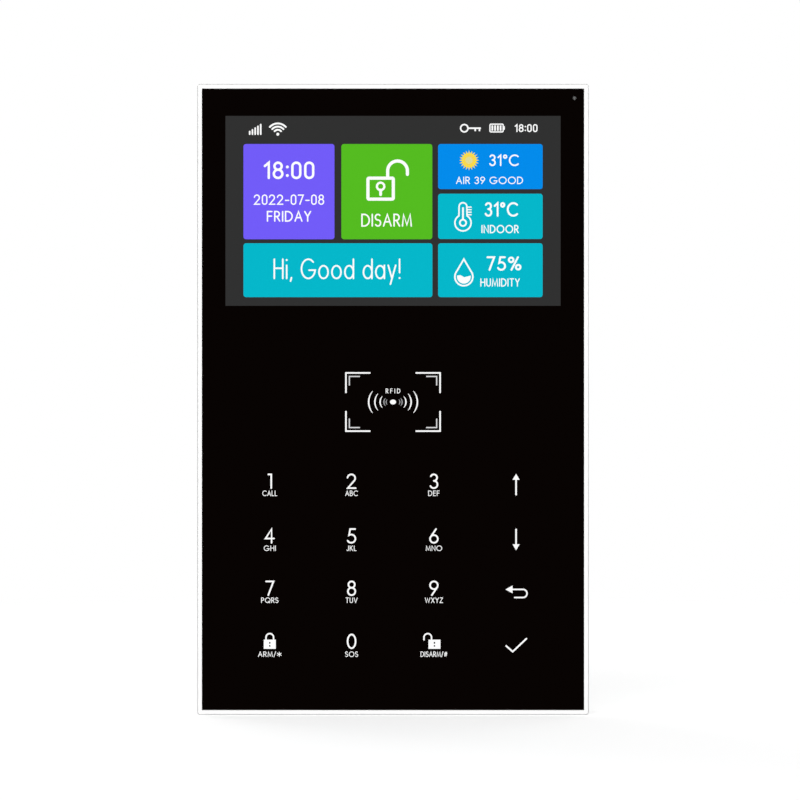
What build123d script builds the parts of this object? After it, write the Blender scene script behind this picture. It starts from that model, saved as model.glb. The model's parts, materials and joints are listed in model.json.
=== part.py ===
from build123d import *
from math import atan, degrees
import os

# Wall-mounted alarm keypad panel.  +X is to the right, the glass faces -Y and +Z is up.
# The origin lies on the wall, at the middle of the bracket's back face.
# Depths are measured forward from the wall, so a depth d lies at y = -d.

# Case
CASE_W = 111.0
CASE_H = 178.8
CASE_DEPTH = 19.0
CASE_CORNER_R = 0.8
EDGE_SET_BACK = 0.3
EDGE_DEPTH = 0.8
RIM_W = 1.35
SHELL_WALL = 1.6
SHELL_BACK = 7.6
WEB_BACK = 15.2
WEB_FRONT = 16.8

# Glass and the layers bonded behind it
GLASS_GAP = 0.05
INK_INSET = 0.05
TAPE_INSET = 0.3
GLASS_BACK = 17.1
GLASS_FRONT = 18.9
GLASS_CORNER_R = 0.4
GLASS_CHAMFER = 0.15
INK_BACK = 17.0

# Display: the visible area of a 4.3 inch panel, in the outline of its module
VIEW_W = 95.04
VIEW_H = 53.86
VIEW_Z = 53.47
MODULE_W = 105.5
MODULE_H = 67.2
MODULE_TOP = 83.8
MODULE_BOTTOM = MODULE_TOP - MODULE_H
MODULE_BACK = 13.9
DISPLAY_GAP = 0.2
BEZEL_SHEET = 0.3
BEZEL_VIEW_GAP = 1.0
LCD_BACK = 15.2
LCD_FRONT = 16.5
LCD_SIDE = 1.0
LCD_FOOT = 4.0
BACKLIGHT_FRONT = 15.1
FLEX_HALF_W = 10.0
FLEX_NOTCH = (15.1, 16.2)
FLEX_SIDE_GAP = 0.8

# Touch field: four columns and four rows of keys
KEY_X = (-34.9, -11.65, 11.65, 34.9)
KEY_Z = (-24.6, -40.1, -55.0, -70.1)
KEY_FIELD_HALF_W = 50.5
KEY_FIELD_TOP = 15.0
KEY_FIELD_BOTTOM = -84.6
BOARD_GAP = 0.3
TOUCH_BOARD_BACK = 15.0
TOUCH_BOARD_FRONT = 16.7
TOUCH_BOARD_TOP = -14.6
LIGHT_HOLE_R = 1.6
ELECTRODE_R = 5.6
ELECTRODE_HOLE_R = 2.2
KEY_LED = (4.2, 2.0, 0.8)
TOUCH_CHIP_X = (-23.2, 23.2)
TOUCH_CHIP = (5.0, -50.0, -45.0, 0.9)
TAG_MARK_Z = -0.75
TAG_BOARD_HALF_W = 24.0
TAG_BOARD_HALF_H = 13.0
TAG_BOARD_BACK = 15.6
TAG_TURNS = 4
TAG_COIL_W = 44.0
TAG_COIL_H = 23.0
TAG_COIL_R = 3.0
TAG_TRACK_W = 0.8
TAG_TURN_STEP = 1.5

# Rear cover
COVER_INSET = 0.5
COVER_BACK = 0.6
COVER_WALL = 2.2
COVER_FLOOR = 1.8
COVER_EDGE_R = 1.2
SCREW_SEAT_R = 2.5
SCREW_SEAT_FLOOR = 3.3
SCREW_BOSS_R = 3.3
BUMPER_W = 6.0
BUMPER_H = 16.0
BUMPER_R = 2.5
BUMPER_X = 50.0
BUMPER_Z = 60.0
LIP_FRONT = 9.2
LIP_GAP = 0.2
RECESS_FLOOR = 1.7
RECESS_HALF_W = 45.0
RECESS_TOP = 67.0
RECESS_BOTTOM = -75.0
RECESS_INNER = RECESS_FLOOR + COVER_FLOOR

# Wall bracket and the way the panel hangs on it
BRACKET_W = 88.0
BRACKET_H = 132.0
BRACKET_T = 1.2
BRACKET_CORNER_R = 5.0
HOLE_SPACING_X = 74.0
HOLE_SPACING_Z = 112.0
HOLE_R = 2.25
BOX_SPACING = 60.0
BOX_SLOT_LENGTH = 8.0
BOX_Z = -5.0
LIGHT_WINDOW_X = 18.5
LIGHT_WINDOW_W = 16.0
LIGHT_WINDOW_R = 3.0
LIGHT_WINDOWS = ((50.0, 24.0), (-38.0, 12.0), (-54.0, 12.0))
LIFT = 8.0
HOOK_X = 37.0
HOOK_TOPS = (32.0, -34.0)
HOOK_W = 8.0
HOOK_RISE = 7.0
HOOK_BACK = 3.7
HOOK_FRONT = 4.9
HOOK_ROOT = 0.4
HOOK_SIDE_GAP = 0.4
HOOK_WINDOW_H = 11.0
SLOT_H = 10.0
SLOT_SIDE_GAP = 0.5
SLOT_TOP_GAP = 0.15
HEAD_GAP_FRONT = 4.2
HEAD_CLEAR_R = 5.0
HEAD_WALL = 1.5

# Service bay: the opening in the cover for wiring, over the bracket's cable window
BAY_HALF_W = 23.0
BAY_BOTTOM = -24.0
BAY_TOP = 12.0
BAY_WALL = 1.2
WINDOW_HALF_W = 22.0
WINDOW_TOP = 14.0
TERMINAL_PITCH = 3.5
TERMINAL_POLES = 8
TERMINAL_X = -17.25
TERMINAL_SCREW_Z = -6.0
INLET_X = 16.5
INLET_W = 9.0
INLET_THICK = 3.2
INLET_MOUTH_Z = -14.0
INLET_LENGTH = 7.4
INLET_SHEET = 0.3

# Main board
BOARD_BACK = 8.4
BOARD_T = 1.6
BOARD_FRONT = BOARD_BACK + BOARD_T
BOARD_TOP = 15.5
BOARD_BOTTOM = -84.5
BOARD_HALF_W = 50.5
POST_R = 2.6
POST_PLACES = [(x, z) for x in (-48.0, 48.0) for z in (-69.0, 7.0)]
CASE_SCREW_PLACES = [(x, z) for x in (-49.6, 49.6) for z in (-83.4, 83.4)]
BOSS_BACK = 5.4
BOSS_FRONT = 12.3

# Battery, speaker and antenna, between the board and the top of the case
BATTERY_X = (-29.0, 5.0)
BATTERY_Z = (26.0, 76.0)
BATTERY_T = 6.0
BATTERY_EDGE_R = 2.4
PAD_T = 0.3
SPEAKER_X = 18.5
SPEAKER_Z = 55.0
SPEAKER_W = 20.0
SPEAKER_H = 40.0
SPEAKER_WALL = 1.5
SPEAKER_BACK = 3.9
SPEAKER_FRONT = 8.2
GRILLE_Z = 41.0
GRILLE_PITCH = 5.0
GRILLE_ROWS = 5
GRILLE_SLOT_W = 15.0
GRILLE_SLOT_H = 1.6
PLUG_X = 28.0
LEAD_R = 0.55
LEAD_SPREAD = 1.0

# Screws and their threaded inserts
SCREW_R = 1.0
SCREW_HEAD_R = 2.2
CROSS_LENGTH = 2.4
CROSS_WIDTH = 0.5
CROSS_DEPTH = 0.8
INSERT_BORE_R = 1.05
INSERT_R = 1.6
INSERT_LENGTH = 4.0
SCREW_CLEAR_R = 1.3

# Moving pieces
SWITCH_X = -22.0
SWITCH_SLOT_HALF = 3.4
SWITCH_SLOT = (10.8, 12.8)
SWITCH_TRAVEL = 3.0
TAMPER_X = 37.0
TAMPER_Z = 8.0
TAMPER_TIP = 0.1
TAMPER_R = 1.6
TAMPER_HOLE_R = 2.0
TAMPER_TRAVEL = 1.5
RESET_X = -13.0
RESET_Z = 6.0
SIM_X = 22.0
SIM_W = 15.0
SIM_T = 0.76
SIM_BACK = 10.5
SIM_BOTTOM = -88.6
SIM_LENGTH = 15.0
SIM_SLOT_GAP = 0.35
MIC_X = 51.4
MIC_Z = 85.4
MIC_HOLE_R = 0.5
MIC_CLEAR_R = 0.6

# How far a cutting shape runs past the surface that it cuts
CUT = 1.0


# Shape helpers


def block(x0, x1, d0, d1, z0, z1):
    """A box from depth d0 to depth d1."""
    place = Pos((x0 + x1) / 2, -(d0 + d1) / 2, (z0 + z1) / 2)
    return place * Box(abs(x1 - x0), abs(d1 - d0), abs(z1 - z0))


def rounded(x, z, width, height, d0, d1, radius):
    """A plate across the depth axis, with rounded corners."""
    face = Plane.XZ * Pos(x, z) * RectangleRounded(width, height, radius)
    return Pos(0, -d0, 0) * extrude(face, d1 - d0)


def rod(x, z, radius, d0, d1):
    """A round bar along the depth axis."""
    face = Plane.XZ * Pos(x, z) * Circle(radius)
    return Pos(0, -d0, 0) * extrude(face, d1 - d0)


def ring(x, z, outer, inner, d0, d1):
    return rod(x, z, outer, d0, d1) - rod(x, z, inner, d0, d1)


def wire(points, radii, radius):
    """A round lead along straight runs joined by tangent arcs."""
    path = FilletPolyline(*points, radius=radii)
    section = Plane(origin=path @ 0, z_dir=path % 0) * Circle(radius)
    return sweep(section, path=path)


def ribbon(points, radii, thickness, x0, x1):
    """A flat flex of even thickness that bends in depth and height only."""
    path = FilletPolyline(*[(-d, z) for d, z in points], radius=radii)
    band = Plane.YZ * trace(path, line_width=thickness)
    return Pos(x0, 0, 0) * extrude(band, x1 - x0)


def group(pieces):
    return Compound(children=list(pieces))


def save(name, shape):
    export_step(shape, f"parts/{name}.step")


# Wall bracket


def wall_bracket():
    plate = rounded(0, 0, BRACKET_W, BRACKET_H, 0, BRACKET_T, BRACKET_CORNER_R)
    through = (-CUT, BRACKET_T + CUT)
    cuts = [block(-WINDOW_HALF_W, WINDOW_HALF_W, *through, BAY_BOTTOM, WINDOW_TOP)]
    for sx in (-1, 1):
        for sz in (-1, 1):
            cuts.append(rod(sx * HOLE_SPACING_X / 2, sz * HOLE_SPACING_Z / 2, HOLE_R, *through))
        for z, height in LIGHT_WINDOWS:
            cuts.append(rounded(sx * LIGHT_WINDOW_X, z, LIGHT_WINDOW_W, height, *through,
                                LIGHT_WINDOW_R))
        slot = Pos(sx * BOX_SPACING / 2, BOX_Z) * SlotOverall(BOX_SLOT_LENGTH, 2 * HOLE_R)
        cuts.append(Pos(0, CUT, 0) * extrude(Plane.XZ * slot, BRACKET_T + 2 * CUT))
    tamper_w = 4 * TAMPER_R
    cuts.append(rounded(TAMPER_X, TAMPER_Z + LIFT / 2, tamper_w, LIFT + tamper_w, *through,
                        TAMPER_R))
    for hook_x in (-HOOK_X, HOOK_X):
        for top in HOOK_TOPS:
            half = HOOK_W / 2 + HOOK_SIDE_GAP
            cuts.append(block(hook_x - half, hook_x + half, *through, top, top + HOOK_WINDOW_H))
    for cut in cuts:
        plate -= cut
    for hook_x in (-HOOK_X, HOOK_X):
        for top in HOOK_TOPS:
            half = HOOK_W / 2
            sides = (hook_x - half, hook_x + half)
            plate += block(*sides, HOOK_ROOT, HOOK_FRONT, top - BRACKET_T, top)
            plate += block(*sides, HOOK_BACK, HOOK_FRONT, top - BRACKET_T, top + HOOK_RISE)
    return plate


# Case


def shell_outline():
    """The case's outer form; its front edge leans in a little."""
    straight = CASE_DEPTH - EDGE_DEPTH
    shell = rounded(0, 0, CASE_W, CASE_H, SHELL_BACK, straight, CASE_CORNER_R)
    face = Plane.XZ * RectangleRounded(CASE_W, CASE_H, CASE_CORNER_R)
    lean = degrees(atan(EDGE_SET_BACK / EDGE_DEPTH))
    return shell + Pos(0, -straight, 0) * extrude(face, EDGE_DEPTH, taper=lean)


def corner_boss(x, z, inner_w, inner_h):
    """A screw boss with the gusset that ties it into the case's corner."""
    toward = 1 if x > 0 else -1
    upward = 1 if z > 0 else -1
    gusset = block(x - toward * 2.0, toward * (inner_w / 2 + 0.5), LIP_FRONT + 0.4, BOSS_FRONT,
                   z - upward * 1.5, upward * (inner_h / 2 + 0.5))
    return gusset + rod(x, z, POST_R, BOSS_BACK, BOSS_FRONT)


def front_shell():
    shell = shell_outline()
    inner_w = CASE_W - 2 * SHELL_WALL
    inner_h = CASE_H - 2 * SHELL_WALL
    glass_w = CASE_W - 2 * RIM_W
    glass_h = CASE_H - 2 * RIM_W
    shell -= block(-inner_w / 2, inner_w / 2, SHELL_BACK - CUT, WEB_BACK, -inner_h / 2, inner_h / 2)
    shell -= block(-glass_w / 2, glass_w / 2, WEB_FRONT, CASE_DEPTH + CUT, -glass_h / 2, glass_h / 2)
    through = (WEB_BACK - CUT, WEB_FRONT + CUT)
    half_module = MODULE_W / 2 + DISPLAY_GAP
    module_low = MODULE_BOTTOM - DISPLAY_GAP
    shell -= block(-half_module, half_module, *through, module_low, MODULE_TOP + DISPLAY_GAP)
    shell -= block(-KEY_FIELD_HALF_W, KEY_FIELD_HALF_W, *through, KEY_FIELD_BOTTOM, KEY_FIELD_TOP)
    shell -= rod(MIC_X, MIC_Z, MIC_CLEAR_R, *through)
    half_flex = FLEX_HALF_W + FLEX_SIDE_GAP
    shell -= block(-half_flex, half_flex, *FLEX_NOTCH, KEY_FIELD_TOP - CUT, module_low + CUT)
    for x, z in CASE_SCREW_PLACES:
        shell += corner_boss(x, z, inner_w, inner_h)
        shell -= rod(x, z, INSERT_R, BOSS_BACK - CUT, BOSS_BACK + INSERT_LENGTH)
        shell -= rod(x, z, SCREW_CLEAR_R, BOSS_BACK, BOSS_FRONT - 1.0)
    floor = (-CASE_H / 2 - CUT, -CASE_H / 2 + 2 * SHELL_WALL)
    half_sim = SIM_W / 2 + 0.4
    shell -= block(SIM_X - half_sim, SIM_X + half_sim, SIM_BACK - SIM_SLOT_GAP,
                   SIM_BACK + SIM_T + SIM_SLOT_GAP, *floor)
    return shell - block(SWITCH_X - SWITCH_SLOT_HALF, SWITCH_X + SWITCH_SLOT_HALF, *SWITCH_SLOT,
                         *floor)


def cover_tray():
    """The cover's walls and floor, with the raised floor of the bracket's recess."""
    outer_w = CASE_W - 2 * COVER_INSET
    outer_h = CASE_H - 2 * COVER_INSET
    half_w = outer_w / 2 - COVER_WALL
    half_h = outer_h / 2 - COVER_WALL
    lip_w = CASE_W - 2 * SHELL_WALL - 2 * LIP_GAP
    lip_h = CASE_H - 2 * SHELL_WALL - 2 * LIP_GAP
    tray = rounded(0, 0, outer_w, outer_h, COVER_BACK, SHELL_BACK, CASE_CORNER_R)
    tray = fillet(tray.faces().sort_by(Axis.Y)[-1].edges(), COVER_EDGE_R)
    tray += block(-lip_w / 2, lip_w / 2, SHELL_BACK - CUT, LIP_FRONT, -lip_h / 2, lip_h / 2)
    tray -= block(-half_w, half_w, COVER_BACK + COVER_FLOOR, LIP_FRONT + CUT, -half_h, half_h)
    side = RECESS_HALF_W + COVER_FLOOR
    tray += block(-side, side, RECESS_FLOOR, RECESS_INNER,
                  RECESS_BOTTOM - COVER_FLOOR, RECESS_TOP + COVER_FLOOR)
    return tray - block(-RECESS_HALF_W, RECESS_HALF_W, 0, RECESS_FLOOR, RECESS_BOTTOM, RECESS_TOP)


def screw_head_pockets():
    """Room for the wall screws' heads, long enough for the panel to lift: walls, then hollows."""
    walls = []
    hollows = []
    width = 2 * HEAD_CLEAR_R
    height = width + LIFT
    for x in (-HOLE_SPACING_X / 2, HOLE_SPACING_X / 2):
        for z in (-HOLE_SPACING_Z / 2, HOLE_SPACING_Z / 2):
            middle = z - LIFT / 2
            walls.append(rounded(x, middle, width + 2 * HEAD_WALL, height + 2 * HEAD_WALL,
                                 RECESS_INNER - 0.5, HEAD_GAP_FRONT + HEAD_WALL,
                                 HEAD_CLEAR_R + HEAD_WALL - 0.1))
            hollows.append(rounded(x, middle, width, height, 0, HEAD_GAP_FRONT,
                                   HEAD_CLEAR_R - 0.1))
    return walls, hollows


def rear_cover():
    cover = cover_tray()
    adds, cuts = screw_head_pockets()
    through = (0, RECESS_INNER + 0.5)
    for x in (-HOOK_X, HOOK_X):
        for top in HOOK_TOPS:
            half = HOOK_W / 2 + SLOT_SIDE_GAP
            slot_top = top + SLOT_TOP_GAP
            cuts.append(block(x - half, x + half, *through, slot_top - SLOT_H, slot_top))
    adds.append(block(-BAY_HALF_W - BAY_WALL, BAY_HALF_W + BAY_WALL, RECESS_INNER - 0.5,
                      BOARD_BACK - 0.2, BAY_BOTTOM - BAY_WALL, BAY_TOP + BAY_WALL))
    cuts.append(block(-BAY_HALF_W, BAY_HALF_W, 0, BOARD_BACK, BAY_BOTTOM, BAY_TOP))
    cuts.append(rod(TAMPER_X, TAMPER_Z, TAMPER_HOLE_R, *through))
    for row in range(GRILLE_ROWS):
        z = GRILLE_Z + GRILLE_PITCH * row
        cuts.append(rounded(SPEAKER_X, z, GRILLE_SLOT_W, GRILLE_SLOT_H, *through,
                            GRILLE_SLOT_H / 2 - 0.05))
    for x, z in POST_PLACES:
        adds.append(rod(x, z, POST_R, COVER_BACK + CUT, BOARD_BACK))
        cuts.append(rod(x, z, INSERT_R, BOARD_BACK - INSERT_LENGTH, BOARD_BACK + CUT))
    for x, z in CASE_SCREW_PLACES:
        adds.append(rod(x, z, SCREW_BOSS_R, COVER_BACK + CUT, BOSS_BACK - 0.1))
        cuts.append(rod(x, z, SCREW_SEAT_R, 0, SCREW_SEAT_FLOOR))
        cuts.append(rod(x, z, SCREW_CLEAR_R, 0, BOSS_BACK + CUT))
    for piece in adds:
        cover += piece
    for cut in cuts:
        cover -= cut
    return cover


def wall_bumpers():
    places = [(x, z) for x in (-BUMPER_X, BUMPER_X) for z in (-BUMPER_Z, BUMPER_Z)]
    return group(rounded(x, z, BUMPER_W, BUMPER_H, 0, COVER_BACK, BUMPER_R) for x, z in places)


# Front layers


def glass_size():
    return (CASE_W - 2 * RIM_W - 2 * GLASS_GAP, CASE_H - 2 * RIM_W - 2 * GLASS_GAP)


def cover_glass():
    width, height = glass_size()
    glass = rounded(0, 0, width, height, GLASS_BACK, GLASS_FRONT, GLASS_CORNER_R)
    glass = chamfer(glass.faces().sort_by(Axis.Y)[0].edges(), GLASS_CHAMFER)
    return glass - rod(MIC_X, MIC_Z, MIC_HOLE_R, GLASS_BACK - CUT, GLASS_FRONT + CUT)


def printed_mask():
    width, height = glass_size()
    mask = rounded(0, 0, width - 2 * INK_INSET, height - 2 * INK_INSET, INK_BACK, GLASS_BACK,
                   GLASS_CORNER_R)
    through = (INK_BACK - CUT, GLASS_BACK + CUT)
    mask -= block(-VIEW_W / 2, VIEW_W / 2, *through, VIEW_Z - VIEW_H / 2, VIEW_Z + VIEW_H / 2)
    return mask - rod(MIC_X, MIC_Z, MIC_CLEAR_R, *through)


def glass_tape():
    width, height = glass_size()
    tape = rounded(0, 0, width - 2 * TAPE_INSET, height - 2 * TAPE_INSET, WEB_FRONT, INK_BACK,
                   GLASS_CORNER_R)
    half_module = MODULE_W / 2 + DISPLAY_GAP
    through = (WEB_FRONT - CUT, INK_BACK + CUT)
    tape -= block(-half_module, half_module, *through,
                  MODULE_BOTTOM - DISPLAY_GAP, MODULE_TOP + DISPLAY_GAP)
    tape -= block(-KEY_FIELD_HALF_W, KEY_FIELD_HALF_W, *through, KEY_FIELD_BOTTOM, KEY_FIELD_TOP)
    return tape - rod(MIC_X, MIC_Z, MIC_CLEAR_R + 0.1, *through)


def module_block(inset, d0, d1):
    half_w = MODULE_W / 2 - inset
    return block(-half_w, half_w, d0, d1, MODULE_BOTTOM + inset, MODULE_TOP - inset)


def lcd_bezel():
    """Folded steel tray, open at the back, with a window over the visible area."""
    bezel = module_block(0, MODULE_BACK + BEZEL_SHEET, WEB_FRONT)
    bezel -= module_block(BEZEL_SHEET, MODULE_BACK, WEB_FRONT - BEZEL_SHEET + 0.05)
    half_flex = FLEX_HALF_W + FLEX_SIDE_GAP - 0.2
    bezel -= block(-half_flex, half_flex, *FLEX_NOTCH, MODULE_BOTTOM - CUT, MODULE_BOTTOM + CUT)
    half_w = VIEW_W / 2 + BEZEL_VIEW_GAP
    half_h = VIEW_H / 2 + BEZEL_VIEW_GAP
    return bezel - block(-half_w, half_w, MODULE_BACK, WEB_FRONT + CUT,
                         VIEW_Z - half_h, VIEW_Z + half_h)


def lcd_panel():
    half_w = MODULE_W / 2 - LCD_SIDE
    return block(-half_w, half_w, LCD_BACK, LCD_FRONT,
                 MODULE_BOTTOM + LCD_FOOT, MODULE_TOP - LCD_SIDE)


def lcd_backlight():
    return module_block(BEZEL_SHEET + 0.1, MODULE_BACK, BACKLIGHT_FRONT)


def lcd_flex():
    """Leaves the display's foot, turns back around its edge and ends at the main board."""
    glass_d, fold_d, plug_d = 15.6, 13.3, 10.95
    fold_z, drop_z, end_z = MODULE_BOTTOM - 1.2, 13.0, 10.6
    points = [(glass_d, MODULE_BOTTOM + LCD_FOOT - 0.1), (glass_d, fold_z), (fold_d, fold_z),
              (fold_d, drop_z), (plug_d, drop_z), (plug_d, end_z)]
    return ribbon(points, [0.9] * 4, 0.15, -FLEX_HALF_W, FLEX_HALF_W)


def key_diffuser():
    half_w = KEY_FIELD_HALF_W - BOARD_GAP
    return block(-half_w, half_w, WEB_FRONT, INK_BACK,
                 KEY_FIELD_BOTTOM + BOARD_GAP, KEY_FIELD_TOP - BOARD_GAP)


def touch_board():
    half_w = KEY_FIELD_HALF_W - BOARD_GAP
    board = block(-half_w, half_w, TOUCH_BOARD_BACK, TOUCH_BOARD_FRONT,
                  KEY_FIELD_BOTTOM + BOARD_GAP, TOUCH_BOARD_TOP)
    for x in KEY_X:
        for z in KEY_Z:
            board -= rod(x, z, LIGHT_HOLE_R, TOUCH_BOARD_BACK - CUT, TOUCH_BOARD_FRONT + CUT)
    return board


def touch_electrodes():
    return group(ring(x, z, ELECTRODE_R, ELECTRODE_HOLE_R, TOUCH_BOARD_FRONT, WEB_FRONT)
                 for x in KEY_X for z in KEY_Z)


def key_leds():
    width, height, thick = KEY_LED
    return group(block(x - width / 2, x + width / 2, TOUCH_BOARD_BACK - thick, TOUCH_BOARD_BACK,
                       z - height / 2, z + height / 2) for x in KEY_X for z in KEY_Z)


def touch_controller():
    width, low, high, thick = TOUCH_CHIP
    return group(block(x - width / 2, x + width / 2, TOUCH_BOARD_BACK - thick, TOUCH_BOARD_BACK,
                       low, high) for x in TOUCH_CHIP_X)


def touch_flex():
    """From the touch board's back face down to its connector on the main board."""
    points = [(14.92, -20.0), (14.92, -17.0), (12.6, -13.0), (10.95, -10.0), (10.95, -6.6)]
    return ribbon(points, [1.0, 1.4, 1.4], 0.12, 28.0, 38.0)


def tag_reader_board():
    return block(-TAG_BOARD_HALF_W, TAG_BOARD_HALF_W, TAG_BOARD_BACK, TOUCH_BOARD_FRONT,
                 TAG_MARK_Z - TAG_BOARD_HALF_H, TAG_MARK_Z + TAG_BOARD_HALF_H)


def tag_reader_coil():
    rings = []
    for turn in range(TAG_TURNS):
        width = TAG_COIL_W - 2 * TAG_TURN_STEP * turn
        height = TAG_COIL_H - 2 * TAG_TURN_STEP * turn
        radius = TAG_COIL_R - 0.4 * turn
        outer = rounded(0, TAG_MARK_Z, width, height, TOUCH_BOARD_FRONT, WEB_FRONT, radius)
        inner = rounded(0, TAG_MARK_Z, width - 2 * TAG_TRACK_W, height - 2 * TAG_TRACK_W,
                        TOUCH_BOARD_FRONT - CUT, WEB_FRONT + CUT, radius - 0.6)
        rings.append(outer - inner)
    return group(rings)


# Main board and what is soldered to it


def main_board():
    board = block(-BOARD_HALF_W, BOARD_HALF_W, BOARD_BACK, BOARD_FRONT, BOARD_BOTTOM, BOARD_TOP)
    notch_x, notch_top = 45.5, -79.4
    for sx in (-1, 1):
        board -= block(sx * notch_x, sx * (BOARD_HALF_W + CUT), BOARD_BACK - CUT,
                       BOARD_FRONT + CUT, BOARD_BOTTOM - CUT, notch_top)
    for x, z in POST_PLACES:
        board -= rod(x, z, SCREW_CLEAR_R, BOARD_BACK - CUT, BOARD_FRONT + CUT)
    return board


def on_front(x, z, width, height, rise):
    """A package on the board's front face, given by its middle, outline and height."""
    return block(x - width / 2, x + width / 2, BOARD_FRONT, BOARD_FRONT + rise,
                 z - height / 2, z + height / 2)


def on_back(x, z, width, height, rise):
    return block(x - width / 2, x + width / 2, BOARD_BACK - rise, BOARD_BACK,
                 z - height / 2, z + height / 2)


def chips():
    processor = on_front(0, -30, 14, 14, 1.4)
    memory = on_front(16, -30, 8, 10, 1.0)
    flash = on_front(-15, -28, 9, 11, 1.0)
    regulators = [on_front(-2, -50, 6, 5, 1.5), on_front(10, -50, 5, 4, 1.5)]
    tag_driver = on_front(36, -16, 7, 7, 0.9)
    return group([processor, memory, flash, *regulators, tag_driver])


def inductors():
    return group([on_front(38, -28, 6, 6, 2.8), on_front(-38, -20, 6, 6, 2.8),
                  on_front(-38, -30, 5, 5, 2.4)])


def radio_module():
    carrier = on_front(38, -54.5, 18.0, 25.0, 0.8)
    shield = on_front(38, -52, 16.0, 17.0, 2.4)
    return carrier + shield


def cellular_module():
    carrier = on_front(-31, -52, 24, 24, 0.8)
    shield = on_front(-31, -52, 22.6, 22.6, 2.4)
    return carrier + shield


def low_radio_board():
    carrier = on_front(-2, -70, 18.0, 12.0, 1.0)
    chip = on_front(-6, -70, 5.0, 5.0, 1.8)
    return carrier + chip


def coil(pitch, height, radius, wire_r):
    """A helix of round wire that stands on its own origin, along +Z."""
    with BuildPart() as winding:
        with BuildLine() as line:
            helix = Helix(pitch=pitch, height=height, radius=radius)
        with BuildSketch(Plane(origin=helix @ 0, z_dir=helix % 0)):
            Circle(wire_r)
        sweep()
    return winding.part


def low_radio_antenna():
    """A sprung coil standing along the sub-GHz board."""
    return Pos(3.5, -12.9, -74.4) * coil(1.1, 8.8, 1.3, 0.25)


def board_connectors():
    display_socket = on_front(0, 8.0, 24.0, 5.0, 0.7)
    touch_socket = on_front(33.0, -4.0, 12.0, 5.0, 0.7)
    antenna_socket = on_front(-27.0, -72.5, 3.0, 3.0, 1.2)
    microphone_socket = on_front(45.5, 12.0, 5.0, 5.0, 0.7)
    lead_headers = [on_back(x, 7.4, 6.0, 3.2, 4.0) for x in (-PLUG_X, PLUG_X)]
    return group([display_socket, touch_socket, antenna_socket, microphone_socket, *lead_headers])


def capacitors():
    places = ((-34, -4), (-34, -14), (0, -34), (9, -34))
    can_r, can_h = 3.1, 4.2
    return group(rod(x, z, can_r, BOARD_BACK - can_h, BOARD_BACK) for x, z in places)


def relay():
    return on_back(-17, -38, 14.0, 9.0, 4.6)


def buzzer():
    x, z, outer, hole, rise = 20.0, -60.0, 6.0, 0.8, 3.2
    can = rod(x, z, outer, BOARD_FRONT, BOARD_FRONT + rise)
    return can - rod(x, z, hole, BOARD_FRONT + rise - 1.0, BOARD_FRONT + rise + CUT)


def microphone():
    return block(MIC_X - 1.5, MIC_X + 1.5, 12.9, 13.9, MIC_Z - 1.0, MIC_Z + 1.0)


def microphone_boot():
    boot = block(MIC_X - 1.7, MIC_X + 1.7, 13.9, WEB_BACK, MIC_Z - 1.2, MIC_Z + 1.2)
    return boot - rod(MIC_X, MIC_Z, MIC_HOLE_R, 13.9 - CUT, WEB_BACK + CUT)


def microphone_flex():
    """Runs down beside the display from the microphone to its socket on the main board."""
    points = [(12.8, MIC_Z + 1.2), (12.8, MIC_Z - 20.0), (12.5, 60.0), (12.5, 17.0),
              (10.95, 15.5), (10.95, 14.6)]
    return ribbon(points, [30.0, 30.0, 0.8, 0.6], 0.15, 50.0, 52.6)


def across_x_and_depth(width, thick, radius, z_low, z_high):
    """A rounded bar along Z, centred on the power inlet."""
    middle_d = BOARD_BACK - INLET_THICK / 2
    face = Pos(INLET_X, -middle_d, z_low) * RectangleRounded(width, thick, radius)
    return extrude(face, z_high - z_low)


def power_inlet():
    """Flat reversible power socket, facing down into the service bay."""
    top = INLET_MOUTH_Z + INLET_LENGTH
    shell = across_x_and_depth(INLET_W, INLET_THICK, INLET_THICK / 2 - 0.2, INLET_MOUTH_Z, top)
    hollow_thick = INLET_THICK - 2 * INLET_SHEET
    shell -= across_x_and_depth(INLET_W - 2 * INLET_SHEET, hollow_thick, hollow_thick / 2 - 0.1,
                                INLET_MOUTH_Z - CUT, top - 1.2)
    tongue_w, tongue_t, tongue_low = 6.7, 0.7, INLET_MOUTH_Z + 0.6
    return shell + across_x_and_depth(tongue_w, tongue_t, tongue_t / 3, tongue_low, top - 1.0)


def terminal_poles():
    return [TERMINAL_X + TERMINAL_PITCH * pole for pole in range(TERMINAL_POLES)]


def terminal_block():
    body = block(-19.0, 9.0, 2.4, BOARD_BACK, -12.0, -4.0)
    entry_half, entry_low, entry_high, entry_top = 1.2, 4.4, 7.0, -7.4
    for x in terminal_poles():
        body -= block(x - entry_half, x + entry_half, entry_low, entry_high, -12.0 - CUT, entry_top)
        body -= rod(x, TERMINAL_SCREW_Z, 1.25, 2.0, 4.2)
    return body


def terminal_screws():
    screws = []
    for x in terminal_poles():
        head = rod(x, TERMINAL_SCREW_Z, 1.15, 2.9, 4.2)
        screws.append(head - block(x - 0.25, x + 0.25, 2.9 - CUT, 3.5, -8.0, -4.0))
    return group(screws)


# Battery and speaker


def battery_pad():
    margin = 2.0
    return block(BATTERY_X[0] + margin, BATTERY_X[1] - margin, RECESS_INNER, RECESS_INNER + PAD_T,
                 BATTERY_Z[0] + margin, BATTERY_Z[1] - margin)


def battery_pack():
    back = RECESS_INNER + PAD_T
    pack = block(*BATTERY_X, back, back + BATTERY_T, *BATTERY_Z)
    return fillet(pack.edges().filter_by(Axis.Z), BATTERY_EDGE_R)


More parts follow.
